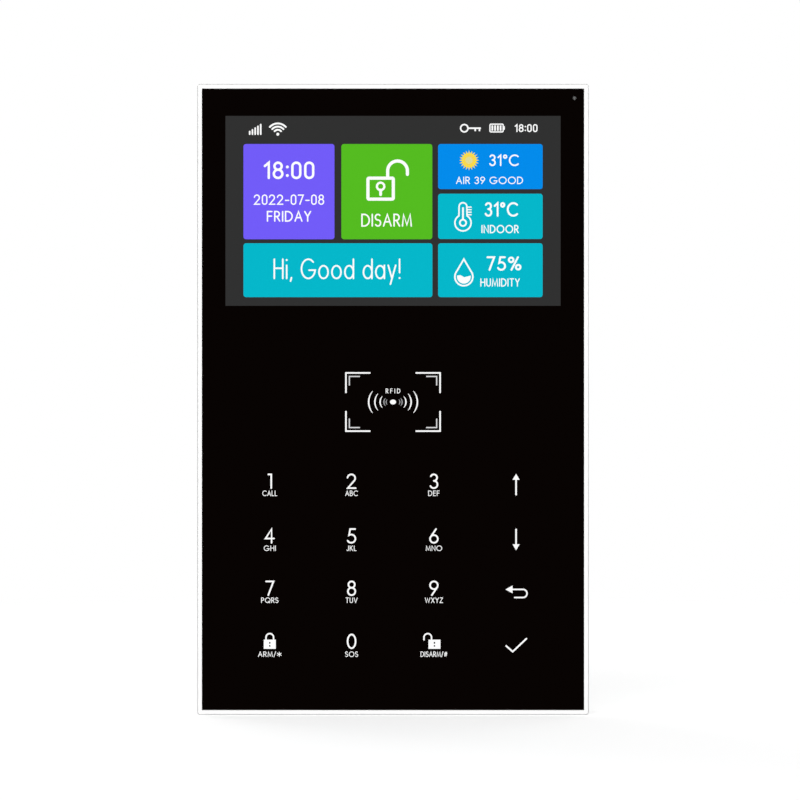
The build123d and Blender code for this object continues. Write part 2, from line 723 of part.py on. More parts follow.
def lead_pair(x_top, x_plug, z_top, depth):
    """Two leads side by side that come down to a plug at the top of the main board."""
    plug_depth, turn_z, plug_z, bend_r = 6.4, 18.6, 14.0, 1.8
    leads = []
    for offset in (-LEAD_SPREAD, LEAD_SPREAD):
        points = [(x_top + offset, -depth, z_top), (x_top + offset, -depth, z_top - 3.5),
                  (x_plug + offset, -plug_depth, turn_z), (x_plug + offset, -plug_depth, plug_z)]
        leads.append(wire(points, [bend_r, bend_r], LEAD_R))
    return group(leads)


def battery_leads():
    return lead_pair(-24.5, -PLUG_X, BATTERY_Z[0], 7.0)


def plug_at(x):
    return block(x - 2.6, x + 2.6, 4.8, 8.0, 9.0, 14.0)


def speaker_oval(inset, d0, d1, radius):
    return rounded(SPEAKER_X, SPEAKER_Z, SPEAKER_W - 2 * inset, SPEAKER_H - 2 * inset,
                   d0, d1, radius)


def speaker_frame():
    frame = speaker_oval(0, SPEAKER_BACK, SPEAKER_FRONT, 3.0)
    return frame - speaker_oval(SPEAKER_WALL, SPEAKER_BACK - CUT, SPEAKER_FRONT - 1.2, 5.0)


def speaker_cone():
    """An oval dish inside a raised rim."""
    rim_back, dish_back, dish_front = 4.4, 4.7, 5.2
    rim = speaker_oval(1.7, rim_back, dish_back, 4.8)
    rim -= speaker_oval(4.0, rim_back - CUT, dish_back + CUT, 4.0)
    return rim + speaker_oval(3.8, dish_back, dish_front, 4.0)


def speaker_magnet():
    return rounded(SPEAKER_X, SPEAKER_Z, 13.0, 20.0, SPEAKER_FRONT, SPEAKER_FRONT + 2.2, 1.0)


def speaker_gasket():
    outer = speaker_oval(0, RECESS_INNER, SPEAKER_BACK, 3.0)
    return outer - speaker_oval(SPEAKER_WALL, RECESS_INNER - CUT, SPEAKER_BACK + CUT, 4.0)


def speaker_leads():
    return lead_pair(SPEAKER_X + 4.5, PLUG_X, SPEAKER_Z - SPEAKER_H / 2, 6.0)


# Antennas


def cellular_antenna():
    return block(-53.7, -53.5, 9.6, 14.6, -52.0, 2.0)


def antenna_lead():
    """From the film on the left wall to the cellular module's socket."""
    points = [(-53.1, -12.0, -50.0), (-53.1, -12.0, -60.0), (-48.0, -12.4, -74.0),
              (-35.0, -12.4, -76.0), (-27.0, -12.0, -76.0), (-27.0, -12.0, -74.0)]
    return wire(points, [4.0, 5.0, 3.0, 0.9], 0.4)


# Fasteners


def screw(x, z, head_low, head_high, tip):
    """A pan-head screw along the depth axis, with a cross recess in its head."""
    inward = 1 if tip > head_high else -1
    base = head_high if inward > 0 else head_low
    face = head_low if inward > 0 else head_high
    body = rod(x, z, SCREW_HEAD_R, head_low, head_high)
    body += rod(x, z, SCREW_R, min(base, tip), max(base, tip))
    for width, height in ((CROSS_LENGTH, CROSS_WIDTH), (CROSS_WIDTH, CROSS_LENGTH)):
        body -= block(x - width / 2, x + width / 2, face - CROSS_DEPTH, face + CROSS_DEPTH,
                      z - height / 2, z + height / 2)
    return body


def case_screws():
    return group(screw(x, z, 1.5, SCREW_SEAT_FLOOR, BOSS_BACK + 3.6) for x, z in CASE_SCREW_PLACES)


def board_screws():
    return group(screw(x, z, BOARD_FRONT, BOARD_FRONT + 1.6, 5.0) for x, z in POST_PLACES)


def threaded_inserts():
    case = [ring(x, z, INSERT_R, INSERT_BORE_R, BOSS_BACK, BOSS_BACK + INSERT_LENGTH)
            for x, z in CASE_SCREW_PLACES]
    board = [ring(x, z, INSERT_R, INSERT_BORE_R, BOARD_BACK - INSERT_LENGTH, BOARD_BACK)
             for x, z in POST_PLACES]
    return group(case + board)


# Switches and the SIM card


def power_switch_body():
    body = block(SWITCH_X - 4.3, SWITCH_X + 4.3, BOARD_FRONT, 13.6, -86.0, -81.0)
    return body - block(SWITCH_X - SWITCH_SLOT_HALF, SWITCH_X + SWITCH_SLOT_HALF, 11.0, 12.6,
                        -86.0 - CUT, -83.4)


def power_switch_lever():
    x = SWITCH_X - SWITCH_TRAVEL / 2
    depths = (11.3, 12.3)
    handle = block(x - 1.0, x + 1.0, *depths, -89.0, -83.7)
    slider = block(x - 1.7, x + 1.7, *depths, -85.2, -83.7)
    return handle + slider


def tamper_switch_body():
    half = 4.0
    body = block(TAMPER_X - half, TAMPER_X + half, 4.0, BOARD_BACK, TAMPER_Z - half, TAMPER_Z + half)
    body -= rod(TAMPER_X, TAMPER_Z, 2.6, 4.6, 8.0)
    return body - rod(TAMPER_X, TAMPER_Z, TAMPER_R + 0.15, 4.0 - CUT, 5.0)


def tamper_plunger():
    shaft = rod(TAMPER_X, TAMPER_Z, TAMPER_R, TAMPER_TIP, 5.0)
    shaft = chamfer(shaft.faces().sort_by(Axis.Y)[-1].edges(), 0.3)
    return shaft + rod(TAMPER_X, TAMPER_Z, 2.3, 4.8, 5.5)


def tamper_spring():
    return Pos(TAMPER_X, -5.72, TAMPER_Z) * Rot(90, 0, 0) * coil(0.7, 2.0, 1.9, 0.14)


def reset_switch():
    half = 3.0
    body = block(RESET_X - half, RESET_X + half, 4.9, BOARD_BACK, RESET_Z - half, RESET_Z + half)
    return body - rod(RESET_X, RESET_Z, 1.85, 4.9 - CUT, 6.0)


def reset_button():
    button = rod(RESET_X, RESET_Z, 1.7, 3.0, 5.6)
    return fillet(button.faces().sort_by(Axis.Y)[-1].edges(), 0.3)


def sim_holder():
    """Stamped cover over the card, open at its mouth and over the card's grip."""
    low, top_z = -84.2, -71.8
    half = SIM_W / 2 + 1.0
    front = SIM_BACK + SIM_T + 0.6
    holder = block(SIM_X - half, SIM_X + half, BOARD_FRONT, front, low, top_z)
    inner = SIM_W / 2 + 0.3
    holder -= block(SIM_X - inner, SIM_X + inner, SIM_BACK - 0.2, SIM_BACK + SIM_T + 0.25,
                    low - CUT, top_z - 1.2)
    grip_half, grip_top = 4.5, -80.0
    return holder - block(SIM_X - grip_half, SIM_X + grip_half, SIM_BACK, front + CUT,
                          low - CUT, grip_top)


def sim_card():
    half = SIM_W / 2
    side_gap, corner_cut = 0.1, 3.6
    top = SIM_BOTTOM + SIM_LENGTH
    card = block(SIM_X - half + side_gap, SIM_X + half - side_gap, SIM_BACK, SIM_BACK + SIM_T,
                 SIM_BOTTOM, top)
    corner = Pos(SIM_X + half, -SIM_BACK - SIM_T / 2, top) * Rot(0, 45, 0)
    return card - corner * Box(corner_cut, 2 * CUT, corner_cut)


NODES = {
    "wall_bracket": wall_bracket,
    "front_shell": front_shell,
    "rear_cover": rear_cover,
    "wall_bumpers": wall_bumpers,
    "cover_glass": cover_glass,
    "printed_mask": printed_mask,
    "glass_tape": glass_tape,
    "lcd_bezel": lcd_bezel,
    "lcd_panel": lcd_panel,
    "lcd_backlight": lcd_backlight,
    "lcd_flex": lcd_flex,
    "key_diffuser": key_diffuser,
    "touch_board": touch_board,
    "touch_electrodes": touch_electrodes,
    "key_leds": key_leds,
    "touch_controller": touch_controller,
    "touch_flex": touch_flex,
    "tag_reader_board": tag_reader_board,
    "tag_reader_coil": tag_reader_coil,
    "main_board": main_board,
    "chips": chips,
    "inductors": inductors,
    "radio_module": radio_module,
    "cellular_module": cellular_module,
    "low_radio_board": low_radio_board,
    "low_radio_antenna": low_radio_antenna,
    "board_connectors": board_connectors,
    "capacitors": capacitors,
    "relay": relay,
    "buzzer": buzzer,
    "microphone": microphone,
    "microphone_boot": microphone_boot,
    "microphone_flex": microphone_flex,
    "power_inlet": power_inlet,
    "terminal_block": terminal_block,
    "terminal_screws": terminal_screws,
    "battery_pad": battery_pad,
    "battery_pack": battery_pack,
    "battery_leads": battery_leads,
    "battery_plug": lambda: plug_at(-PLUG_X),
    "speaker_frame": speaker_frame,
    "speaker_cone": speaker_cone,
    "speaker_magnet": speaker_magnet,
    "speaker_gasket": speaker_gasket,
    "speaker_leads": speaker_leads,
    "speaker_plug": lambda: plug_at(PLUG_X),
    "cellular_antenna": cellular_antenna,
    "antenna_lead": antenna_lead,
    "case_screws": case_screws,
    "board_screws": board_screws,
    "threaded_inserts": threaded_inserts,
    "power_switch_body": power_switch_body,
    "power_switch_lever": power_switch_lever,
    "tamper_switch_body": tamper_switch_body,
    "tamper_plunger": tamper_plunger,
    "tamper_spring": tamper_spring,
    "reset_switch": reset_switch,
    "reset_button": reset_button,
    "sim_holder": sim_holder,
    "sim_card": sim_card,
}

os.makedirs("parts", exist_ok=True)
for node_name, make in NODES.items():
    save(node_name, make())
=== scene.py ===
import json
import math
import bpy
import bmesh
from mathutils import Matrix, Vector


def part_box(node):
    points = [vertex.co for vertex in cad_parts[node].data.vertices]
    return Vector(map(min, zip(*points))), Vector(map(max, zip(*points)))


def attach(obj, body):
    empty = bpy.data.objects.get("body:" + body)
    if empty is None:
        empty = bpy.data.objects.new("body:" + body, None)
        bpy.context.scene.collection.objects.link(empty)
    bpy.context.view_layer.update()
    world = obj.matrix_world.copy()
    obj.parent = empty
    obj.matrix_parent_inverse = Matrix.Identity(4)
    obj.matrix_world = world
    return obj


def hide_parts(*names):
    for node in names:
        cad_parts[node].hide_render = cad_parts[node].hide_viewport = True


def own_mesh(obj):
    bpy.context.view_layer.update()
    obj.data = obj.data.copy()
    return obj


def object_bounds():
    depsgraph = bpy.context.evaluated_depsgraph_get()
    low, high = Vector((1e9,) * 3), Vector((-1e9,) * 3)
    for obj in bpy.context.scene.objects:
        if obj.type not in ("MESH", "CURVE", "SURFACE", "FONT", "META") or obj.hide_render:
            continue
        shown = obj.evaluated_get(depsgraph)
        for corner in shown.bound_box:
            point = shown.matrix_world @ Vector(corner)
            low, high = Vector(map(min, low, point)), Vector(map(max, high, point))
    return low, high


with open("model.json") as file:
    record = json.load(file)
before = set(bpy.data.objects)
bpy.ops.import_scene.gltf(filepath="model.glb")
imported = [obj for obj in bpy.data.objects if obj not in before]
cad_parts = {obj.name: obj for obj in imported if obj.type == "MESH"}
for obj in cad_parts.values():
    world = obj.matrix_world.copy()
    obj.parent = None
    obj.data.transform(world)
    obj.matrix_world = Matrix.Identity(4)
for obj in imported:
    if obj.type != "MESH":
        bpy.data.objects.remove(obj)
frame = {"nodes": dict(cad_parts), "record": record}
CAD_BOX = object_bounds()
NODES = frame["nodes"]
MM = 0.001

# Places on the front of the panel, in millimetres, worked out from the CAD layers
BEZEL_LOW, BEZEL_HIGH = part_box("lcd_bezel")
GLASS_LOW, GLASS_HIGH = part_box("cover_glass")
LCD_LOW, LCD_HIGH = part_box("lcd_panel")
INK_LOW, INK_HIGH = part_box("printed_mask")
VIEW_W = 95.04
VIEW_H = 53.86
VIEW_BORDER_TOP = 3.4
VIEW_LEFT = -VIEW_W / 2
VIEW_TOP = BEZEL_HIGH.z / MM - VIEW_BORDER_TOP
LCD_FRONT = -LCD_LOW.y / MM
INK_FRONT = -INK_LOW.y / MM
GLASS_FRONT = -GLASS_LOW.y / MM
KEY_X = (-34.95, -11.75, 11.6, 34.9)


# Colours


def linear(red, green, blue):
    """A display colour, 0 to 255, as the linear values that shaders take."""
    values = []
    for value in (red, green, blue):
        share = value / 255
        values.append(share / 12.92 if share <= 0.04045 else ((share + 0.055) / 1.055) ** 2.4)
    return (*values, 1.0)


def shade(colour, factor):
    return (*[min(1.0, channel * factor) for channel in colour[:3]], 1.0)


# Material building


class Recipe:
    """One node material, with the few kinds of pattern that the panel's surfaces share."""

    def __init__(self, name, colour, roughness, metallic=0.0):
        self.material = bpy.data.materials.new(name)
        self.material.use_nodes = True
        self.tree = self.material.node_tree
        self.shader = self.tree.nodes["Principled BSDF"]
        self.colour = colour
        self.set("Base Color", colour)
        self.set("Roughness", roughness)
        self.set("Metallic", metallic)
        self.coordinates = self.tree.nodes.new("ShaderNodeTexCoord").outputs["Object"]

    def set(self, socket, value):
        self.shader.inputs[socket].default_value = value
        return self

    def link(self, output, target):
        self.tree.links.new(output, target)

    def stretched(self, x, y, z):
        """Object coordinates scaled apart along the three axes."""
        node = self.tree.nodes.new("ShaderNodeMapping")
        node.inputs["Scale"].default_value = (x, y, z)
        self.link(self.coordinates, node.inputs["Vector"])
        return node.outputs["Vector"]

    def noise(self, size_mm, detail=3.0, vector=None):
        node = self.tree.nodes.new("ShaderNodeTexNoise")
        node.inputs["Scale"].default_value = 1 / (size_mm * MM)
        node.inputs["Detail"].default_value = detail
        self.link(vector or self.coordinates, node.inputs["Vector"])
        return node.outputs["Fac"]

    def cells(self, size_mm, feature="F1", vector=None):
        node = self.tree.nodes.new("ShaderNodeTexVoronoi")
        node.feature = feature
        node.inputs["Scale"].default_value = 1 / (size_mm * MM)
        self.link(vector or self.coordinates, node.inputs["Vector"])
        return node.outputs["Distance"]

    def lines(self, pitch_mm, direction, distortion=0.0):
        node = self.tree.nodes.new("ShaderNodeTexWave")
        node.bands_direction = direction
        node.inputs["Scale"].default_value = math.pi / 10 / (pitch_mm * MM)
        node.inputs["Distortion"].default_value = distortion
        self.link(self.coordinates, node.inputs["Vector"])
        return node.outputs["Fac"]

    def ranged(self, value, low, high, out_low, out_high):
        node = self.tree.nodes.new("ShaderNodeMapRange")
        node.interpolation_type = "SMOOTHSTEP"
        for socket, number in (("From Min", low), ("From Max", high),
                               ("To Min", out_low), ("To Max", out_high)):
            node.inputs[socket].default_value = number
        self.link(value, node.inputs["Value"])
        return node.outputs["Result"]

    def blend(self, factor, first, second):
        node = self.tree.nodes.new("ShaderNodeMix")
        node.data_type = "RGBA"
        self.link(factor, node.inputs[0])
        for socket, colour in ((6, first), (7, second)):
            if isinstance(colour, tuple):
                node.inputs[socket].default_value = colour
            else:
                self.link(colour, node.inputs[socket])
        return node.outputs[2]

    def multiply(self, first, second):
        node = self.tree.nodes.new("ShaderNodeMath")
        node.operation = "MULTIPLY"
        self.link(first, node.inputs[0])
        self.link(second, node.inputs[1])
        return node.outputs["Value"]

    def add(self, first, second):
        node = self.tree.nodes.new("ShaderNodeMath")
        node.use_clamp = True
        self.link(first, node.inputs[0])
        self.link(second, node.inputs[1])
        return node.outputs["Value"]

    def paint(self, output, socket="Base Color"):
        self.link(output, self.shader.inputs[socket])
        return self

    def mottle(self, size_mm, amount):
        """Slow colour variation, as every real moulding and casting has."""
        factor = self.ranged(self.noise(size_mm), 0.3, 0.7, 0.0, 1.0)
        tones = (shade(self.colour, 1 - amount), shade(self.colour, 1 + amount))
        return self.paint(self.blend(factor, *tones))

    def gloss_change(self, size_mm, low, high):
        return self.paint(self.ranged(self.noise(size_mm), 0.3, 0.7, low, high), "Roughness")

    def relief(self, height, depth_mm, strength=1.0):
        node = self.tree.nodes.new("ShaderNodeBump")
        node.inputs["Distance"].default_value = depth_mm * MM
        node.inputs["Strength"].default_value = strength
        self.link(height, node.inputs["Height"])
        self.link(node.outputs["Normal"], self.shader.inputs["Normal"])
        return self


def moulded(name, colour, roughness, grain_mm=0.22, depth_mm=0.012):
    """Spark-textured moulded plastic."""
    recipe = Recipe(name, colour, roughness)
    recipe.mottle(14.0, 0.015).gloss_change(5.0, roughness - 0.05, roughness + 0.07)
    return recipe.relief(recipe.noise(grain_mm, 4.0), depth_mm).material


def pressed_steel(name, colour, roughness):
    """Zinc-plated sheet: a faint spangle and fine rolling marks."""
    recipe = Recipe(name, colour, roughness, 1.0)
    spangle = recipe.ranged(recipe.cells(4.0, "SMOOTH_F1"), 0.1, 0.8, 0.0, 1.0)
    recipe.paint(recipe.blend(spangle, shade(colour, 0.97), shade(colour, 1.03)))
    rolling = recipe.noise(0.5, 2.0, recipe.stretched(1.0, 1.0, 0.03))
    recipe.paint(recipe.ranged(rolling, 0.3, 0.7, roughness - 0.05, roughness + 0.07), "Roughness")
    return recipe.relief(rolling, 0.003).material


def plated(name, colour, roughness, grain_mm=0.5):
    recipe = Recipe(name, colour, roughness, 1.0)
    recipe.mottle(2.0, 0.04).gloss_change(1.2, roughness - 0.06, roughness + 0.08)
    return recipe.relief(recipe.noise(grain_mm, 3.0), 0.006).material


def rubber(name, colour, roughness=0.75, pore_mm=0.3, depth_mm=0.02):
    recipe = Recipe(name, colour, roughness)
    recipe.mottle(3.0, 0.15).gloss_change(2.0, roughness - 0.08, roughness + 0.1)
    return recipe.relief(recipe.cells(pore_mm), depth_mm).material


def solder_mask(name, colour):
    """A printed board: fields of parallel traces each way, ground areas and plated vias."""
    recipe = Recipe(name, colour, 0.34)
    fields = recipe.tree.nodes.new("ShaderNodeVectorMath")
    fields.operation = "SNAP"
    fields.inputs[1].default_value = (6.5 * MM, 1.0, 5.2 * MM)
    recipe.link(recipe.coordinates, fields.inputs[0])
    chance = recipe.tree.nodes.new("ShaderNodeTexWhiteNoise")
    recipe.link(fields.outputs["Vector"], chance.inputs["Vector"])
    lottery = chance.outputs["Value"]
    upright = recipe.multiply(recipe.ranged(recipe.lines(0.9, "X"), 0.6, 0.75, 0.0, 1.0),
                              recipe.ranged(lottery, 0.45, 0.5, 1.0, 0.0))
    level = recipe.multiply(recipe.ranged(recipe.lines(0.9, "Z"), 0.6, 0.75, 0.0, 1.0),
                            recipe.ranged(lottery, 0.75, 0.8, 1.0, 0.0))
    level = recipe.multiply(level, recipe.ranged(lottery, 0.45, 0.5, 0.0, 1.0))
    traces = recipe.add(upright, level)
    vias = recipe.ranged(recipe.cells(2.6), 0.09, 0.13, 1.0, 0.0)
    masked = recipe.blend(traces, shade(colour, 0.85), shade(colour, 1.35))
    recipe.paint(recipe.blend(vias, masked, (0.55, 0.56, 0.50, 1.0)))
    recipe.gloss_change(6.0, 0.28, 0.42)
    return recipe.relief(traces, 0.02).material


def epoxy(name, colour):
    """Moulded chip package."""
    recipe = Recipe(name, colour, 0.55)
    recipe.mottle(1.5, 0.2).gloss_change(1.0, 0.48, 0.62)
    return recipe.relief(recipe.noise(0.08, 4.0), 0.008).material


def clear_glass(name):
    """Toughened glass; its faint waviness only shows in reflections."""
    recipe = Recipe(name, (0.985, 0.992, 0.99, 1.0), 0.0)
    recipe.set("Transmission Weight", 1.0).set("IOR", 1.5)
    return recipe.relief(recipe.noise(35.0, 1.0), 0.004, 0.25).material


def ink_film_with_painted_glow(name):
    """Screen-printed ink, flat against the back of the glass, with a faint painted glow standing in
    for the light that the glass keeps off it.
    """
    recipe = Recipe(name, (0.0030, 0.0017, 0.0014, 1.0), 0.45)
    recipe.set("Specular IOR Level", 0.05)
    # Painted light: a faint brownish glow in place of the light that would fall on the ink through
    # the glass.
    recipe.set("Emission Color", linear(8, 4, 3)).set("Emission Strength", 1.0)
    recipe.mottle(25.0, 0.08)
    return recipe.gloss_change(12.0, 0.42, 0.48).material


def lit(name, colour, strength=1.13, pitch_mm=0.198):
    """Light from the display, with its pixel columns and rows, or from behind a legend."""
    recipe = Recipe(name, (0.0, 0.0, 0.0, 1.0), 0.5)
    columns = recipe.ranged(recipe.lines(pitch_mm, "X"), 0.0, 0.4, 0.0, 1.0)
    rows = recipe.ranged(recipe.lines(pitch_mm, "Z"), 0.0, 0.4, 0.0, 1.0)
    pixels = recipe.multiply(columns, rows)
    recipe.paint(recipe.blend(pixels, shade(colour, 0.94), colour), "Emission Color")
    recipe.set("Emission Strength", strength)
    recipe.set("Specular IOR Level", 0.0)
    return recipe.material


def glowing_ink(name, colour, strength=1.2):
    """Milky ink in the clear legends, a little uneven where the light guide is."""
    recipe = Recipe(name, (0.0, 0.0, 0.0, 1.0), 0.6)
    evenness = recipe.ranged(recipe.noise(4.0, 2.0), 0.3, 0.7, 0.0, 1.0)
    recipe.paint(recipe.blend(evenness, shade(colour, 0.93), colour), "Emission Color")
    recipe.set("Emission Strength", strength)
    recipe.set("Specular IOR Level", 0.0)
    return recipe.material


def foil(name, colour):
    recipe = Recipe(name, colour, 0.38, 0.6)
    recipe.mottle(6.0, 0.06).gloss_change(2.0, 0.3, 0.46)
    return recipe.relief(recipe.noise(1.6, 3.0), 0.05).material


def flex_film(name, colour):
    recipe = Recipe(name, colour, 0.3)
    tracks = recipe.ranged(recipe.lines(0.5, "X"), 0.4, 0.7, 0.0, 1.0)
    recipe.paint(recipe.blend(tracks, shade(colour, 0.7), shade(colour, 1.25)))
    return recipe.relief(tracks, 0.02).material


def coated_paper(name, colour):
    recipe = Recipe(name, colour, 0.8)
    recipe.mottle(1.2, 0.25)
    return recipe.relief(recipe.noise(0.3, 5.0), 0.05).material


MATERIALS = {
    "steel_plate": pressed_steel("steel_plate", (0.62, 0.63, 0.645, 1.0), 0.38),
    "white_plastic": moulded("white_plastic", (0.87, 0.87, 0.865, 1.0), 0.42),
    "cover_plastic": moulded("cover_plastic", (0.80, 0.80, 0.79, 1.0), 0.55, 0.35, 0.02),
    "black_rubber": rubber("black_rubber", (0.025, 0.025, 0.026, 1.0)),
    "clear_glass": clear_glass("clear_glass"),
    "black_ink": ink_film_with_painted_glow("black_ink"),
    "black_tape": rubber("black_tape", (0.02, 0.02, 0.02, 1.0), 0.7, 0.2, 0.01),
    "bezel_steel": plated("bezel_steel", (0.68, 0.68, 0.69, 1.0), 0.33),
    "display_glass": epoxy("display_glass", (0.02, 0.02, 0.022, 1.0)),
    "backlight_white": moulded("backlight_white", (0.83, 0.84, 0.85, 1.0), 0.4, 0.8, 0.01),
    "flex_amber": flex_film("flex_amber", (0.45, 0.20, 0.045, 1.0)),
    "diffuser_milk": moulded("diffuser_milk", (0.78, 0.79, 0.80, 1.0), 0.6, 0.15, 0.005),
    "board_black": solder_mask("board_black", (0.012, 0.014, 0.014, 1.0)),
    "board_green": solder_mask("board_green", (0.012, 0.12, 0.055, 1.0)),
    "bare_copper": plated("bare_copper", (0.86, 0.58, 0.30, 1.0), 0.3, 0.2),
    "led_white": moulded("led_white", (0.80, 0.79, 0.66, 1.0), 0.35, 0.2, 0.004),
    "chip_black": epoxy("chip_black", (0.018, 0.018, 0.019, 1.0)),
    "shield_tin": plated("shield_tin", (0.72, 0.72, 0.70, 1.0), 0.34),
    "coil_wire": plated("coil_wire", (0.80, 0.50, 0.22, 1.0), 0.25, 0.3),
    "connector_white": moulded("connector_white", (0.76, 0.72, 0.63, 1.0), 0.45, 0.3, 0.006),
    "capacitor_can": plated("capacitor_can", (0.80, 0.80, 0.81, 1.0), 0.25),
    "relay_case": moulded("relay_case", (0.03, 0.05, 0.16, 1.0), 0.35, 0.4, 0.006),
    "black_plastic": moulded("black_plastic", (0.022, 0.022, 0.023, 1.0), 0.4, 0.25, 0.01),
    "terminal_green": moulded("terminal_green", (0.015, 0.20, 0.075, 1.0), 0.45, 0.25, 0.008),
    "plated_screw": plated("plated_screw", (0.70, 0.69, 0.66, 1.0), 0.24, 0.3),
    "foam_grey": rubber("foam_grey", (0.10, 0.10, 0.105, 1.0), 0.9, 0.5, 0.12),
    "battery_foil": foil("battery_foil", (0.50, 0.52, 0.55, 1.0)),
    "lead_red": rubber("lead_red", (0.42, 0.015, 0.012, 1.0), 0.45, 0.4, 0.004),
    "speaker_paper": coated_paper("speaker_paper", (0.03, 0.03, 0.03, 1.0)),
    "magnet_steel": plated("magnet_steel", (0.52, 0.52, 0.53, 1.0), 0.4),
    "insert_brass": plated("insert_brass", (0.80, 0.60, 0.25, 1.0), 0.28),
    "spring_steel": plated("spring_steel", (0.62, 0.62, 0.63, 1.0), 0.22),
    "metal_shell": plated("metal_shell", (0.70, 0.70, 0.69, 1.0), 0.3),
    "card_white": moulded("card_white", (0.84, 0.84, 0.81, 1.0), 0.35, 0.5, 0.003),
}

for subpart in frame["record"]["subparts"]:
    node = NODES[subpart["node"]]
    node.data.materials.clear()
    node.data.materials.append(MATERIALS[subpart["material_slot"]])


# Flat shapes


def arc(cx, cz, rx, start, end, rz=None, steps=None):
    """Points along an arc or part of an ellipse, by angle in degrees from the right."""
    rz = rx if rz is None else rz
    count = steps or max(4, int(abs(end - start) / 9))
    points = []
    for step in range(count + 1):
        angle = math.radians(start + (end - start) * step / count)
        points.append((cx + rx * math.cos(angle), cz + rz * math.sin(angle)))
    return points


def round_box(cx, cz, width, height, radius):
    x, z = width / 2 - radius, height / 2 - radius
    corners = ((x, z, 0), (-x, z, 90), (-x, -z, 180), (x, -z, 270))
    points = []
    for dx, dz, turn in corners:
        points += arc(cx + dx, cz + dz, radius, turn, turn + 90, steps=6)
    return points


class Drawing:
    """Strokes and filled outlines, in millimetres on the panel's front, that make one thin piece."""

    def __init__(self):
        self.mesh = bmesh.new()

    def corner(self, x, z):
        return self.mesh.verts.new((x * MM, 0, z * MM))

    def fill(self, points):
        self.mesh.faces.new([self.corner(x, z) for x, z in points])
        return self

    def stroke(self, points, width, closed=False, cap=True):
        """A line of even width, with rounded ends unless it is closed or cap is off."""
        path = [Vector(point) for point in points]
        widths = [width / 2] * len(path)
        if cap and not closed:
            path, widths = self.rounded_ends(path, width / 2)
        count = len(path)
        rails = []
        for index, point in enumerate(path):
            before = path[index - 1] if index or closed else None
            after = path[(index + 1) % count] if index < count - 1 or closed else None
            normals = []
            for start, end in ((before, point), (point, after)):
                if start is not None and end is not None and (end - start).length > 1e-7:
                    along = (end - start).normalized()
                    normals.append(Vector((-along.y, along.x)))
            side = sum(normals, Vector((0, 0))).normalized()
            spread = max(0.45, side.dot(normals[0]))
            reach = side * widths[index] / spread
            rails.append((self.corner(*(point + reach)), self.corner(*(point - reach))))
        for index in range(count if closed else count - 1):
            left, right = rails[index]
            next_left, next_right = rails[(index + 1) % count]
            self.mesh.faces.new((left, right, next_right, next_left))
        return self

    def rounded_ends(self, path, half):
        first = (path[0] - path[1]).normalized()
        last = (path[-1] - path[-2]).normalized()
        turns = [math.radians(angle) for angle in (80, 55, 30)]
        start = [path[0] + first * half * math.sin(turn) for turn in turns]
        end = [path[-1] + last * half * math.sin(turn) for turn in reversed(turns)]
        taper = [half * math.cos(turn) for turn in turns]
        return start + path + end, taper + [half] * len(path) + taper[::-1]

    def piece(self, name, back, thickness, material, slot, body="panel"):
        """The finished piece, from depth back, in front of the wall, towards the viewer."""
        bmesh.ops.translate(self.mesh, verts=self.mesh.verts, vec=(0, -back * MM, 0))
        flat = list(self.mesh.faces)
        grown = bmesh.ops.extrude_face_region(self.mesh, geom=flat, use_keep_orig=True)
        moved = [item for item in grown["geom"] if isinstance(item, bmesh.types.BMVert)]
        bmesh.ops.translate(self.mesh, verts=moved, vec=(0, -thickness * MM, 0))
        bmesh.ops.recalc_face_normals(self.mesh, faces=self.mesh.faces)
        mesh = bpy.data.meshes.new(name)
        self.mesh.to_mesh(mesh)
        self.mesh.free()
        made = bpy.data.objects.new(name, mesh)
        bpy.context.scene.collection.objects.link(made)
        mesh.materials.append(material)
        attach(made, body)
        return made


# A plain geometric stroke alphabet: centre lines in a cell one unit high

